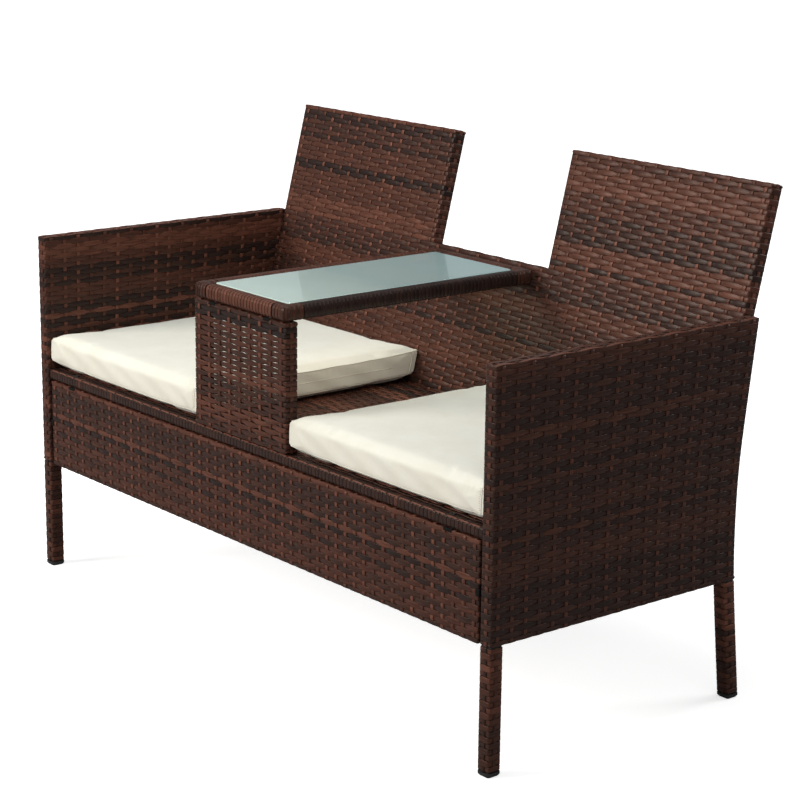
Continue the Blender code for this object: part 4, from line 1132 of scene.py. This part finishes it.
# Each light's place, target, width and height in metres, watts and colour
LIGHTS = {
    "key": ((-1.9, -4.0, 2.4), (0, 0, 0.5), (1.6, 1.6), 160, (1.0, 0.97, 0.92)),
    "top": ((-0.2, -0.5, 2.9), (-0.2, -0.2, 0.4), (1.6, 1.6), 40, (0.88, 0.96, 1.0)),
    "right": ((4.0, -1.2, 1.6), (0, 0, 0.4), (2.5, 2.0), 24, (1.0, 0.98, 0.96)),
    "corner_shine": ((2.7, -3.0, 0.9), (0.2, -0.2, 0.45), (0.4, 1.4), 9, (1, 1, 1)),
    "rear": ((1.4, 3.8, 2.4), (0, 0.2, 0.5), (2.0, 1.6), 60, (1, 1, 1)),
    "under_glass": ((-0.02, -0.05, 0.622), (-0.02, -0.05, 0.4), (0.12, 0.36), 0.38, (1.0, 0.90, 0.76)),
}
CAMERA_ANGLES = (50.71, 14.34, 0.68)
CAMERA_TARGET = (0.7511, -0.57805, 0.6638)
CAMERA_DISTANCE = 3.140
CAMERA_LENS = 102.45


def make_floor():
    """A pale floor that takes the bench's shadow and glows towards white away from it."""
    bpy.ops.mesh.primitive_plane_add(size=FLOOR_SIZE)
    floor = bpy.context.object
    floor.name = "floor"
    material, tree, shader = new_material("floor")
    fill(tree, shader, {"Base Color": (0.9, 0.9, 0.9, 1), "Roughness": 0.9, "Specular IOR Level": 0.0})
    away = add_node(tree, "ShaderNodeVectorMath", (object_place(tree),), operation="LENGTH").outputs["Value"]
    strength = map_range(tree, away, FLOOR_FADE, (FLOOR_LIFT, 1.0))
    glow = add_node(tree, "ShaderNodeEmission", {"Strength": strength})
    seen = add_node(tree, "ShaderNodeAddShader", (shader.outputs[0], glow.outputs[0]))
    bounce = add_node(tree, "ShaderNodeBsdfDiffuse", {"Color": (FLOOR_BOUNCE, FLOOR_BOUNCE, FLOOR_BOUNCE, 1)})
    camera_ray = add_node(tree, "ShaderNodeLightPath").outputs["Is Camera Ray"]
    mix = add_node(tree, "ShaderNodeMixShader", (camera_ray, bounce.outputs[0], seen.outputs[0]))
    fill(tree, tree.nodes["Material Output"], {"Surface": mix.outputs[0]})
    floor.data.materials.append(material)


def make_world():
    """A dim even light, and white where the camera sees the world directly or through the glass."""
    world = bpy.data.worlds.new("studio")
    bpy.context.scene.world = world
    world.use_nodes = True
    tree = world.node_tree
    ambient = tree.nodes["Background"]
    fill(tree, ambient, {"Color": WHITE, "Strength": AMBIENT})
    seen = add_node(tree, "ShaderNodeBackground", {"Color": WHITE})
    path = add_node(tree, "ShaderNodeLightPath").outputs
    either = add_node(tree, "ShaderNodeMath", (path["Is Camera Ray"], path["Is Transmission Ray"]),
                      operation="ADD", use_clamp=True)
    mix = add_node(tree, "ShaderNodeMixShader", (either.outputs[0], ambient.outputs[0], seen.outputs[0]))
    fill(tree, tree.nodes["World Output"], {"Surface": mix.outputs[0]})


def make_lights():
    for name, (place, target, size, power, colour) in LIGHTS.items():
        light = bpy.data.lights.new(name, "AREA")
        light.shape = "RECTANGLE"
        light.size, light.size_y = size
        light.energy = power
        light.color = colour
        lamp = link_object(name, light)
        lamp.location = place
        lamp.rotation_euler = (Vector(target) - Vector(place)).to_track_quat("-Z", "Y").to_euler()
        lamp.visible_camera = False


def make_camera():
    azimuth, elevation, roll = (math.radians(angle) for angle in CAMERA_ANGLES)
    back = Vector((math.sin(azimuth) * math.cos(elevation), -math.cos(azimuth) * math.cos(elevation),
                   math.sin(elevation)))
    right = (-back).cross(Vector((0, 0, 1))).normalized()
    up = right.cross(-back)
    tilted_right = right * math.cos(roll) + up * math.sin(roll)
    tilted_up = up * math.cos(roll) - right * math.sin(roll)
    camera = link_object("camera", bpy.data.cameras.new("camera"))
    camera.data.lens = CAMERA_LENS
    camera.data.sensor_width = 36
    camera.data.clip_end = 100
    turn = Matrix((tilted_right, tilted_up, back)).transposed().to_4x4()
    camera.matrix_world = Matrix.Translation(Vector(CAMERA_TARGET) + back * CAMERA_DISTANCE) @ turn
    bpy.context.scene.camera = camera


def main():
    dress_nodes()
    blown = blown_mesh()
    for side, label, seed in ((-1, "left", 10), (1, "right", 20)):
        weave_arm(side, label, seed)
        make_cushion(side, label, blown)
    bpy.data.meshes.remove(blown)
    weave_back()
    weave_skirt_and_support()
    add_tabs()
    weave_seat()
    wind_seat_front()
    lay_edge_strand()
    weave_legs()
    wind_rim()
    make_floor()
    make_world()
    make_lights()
    make_camera()
    bpy.context.scene.view_settings.view_transform = "Standard"


main()
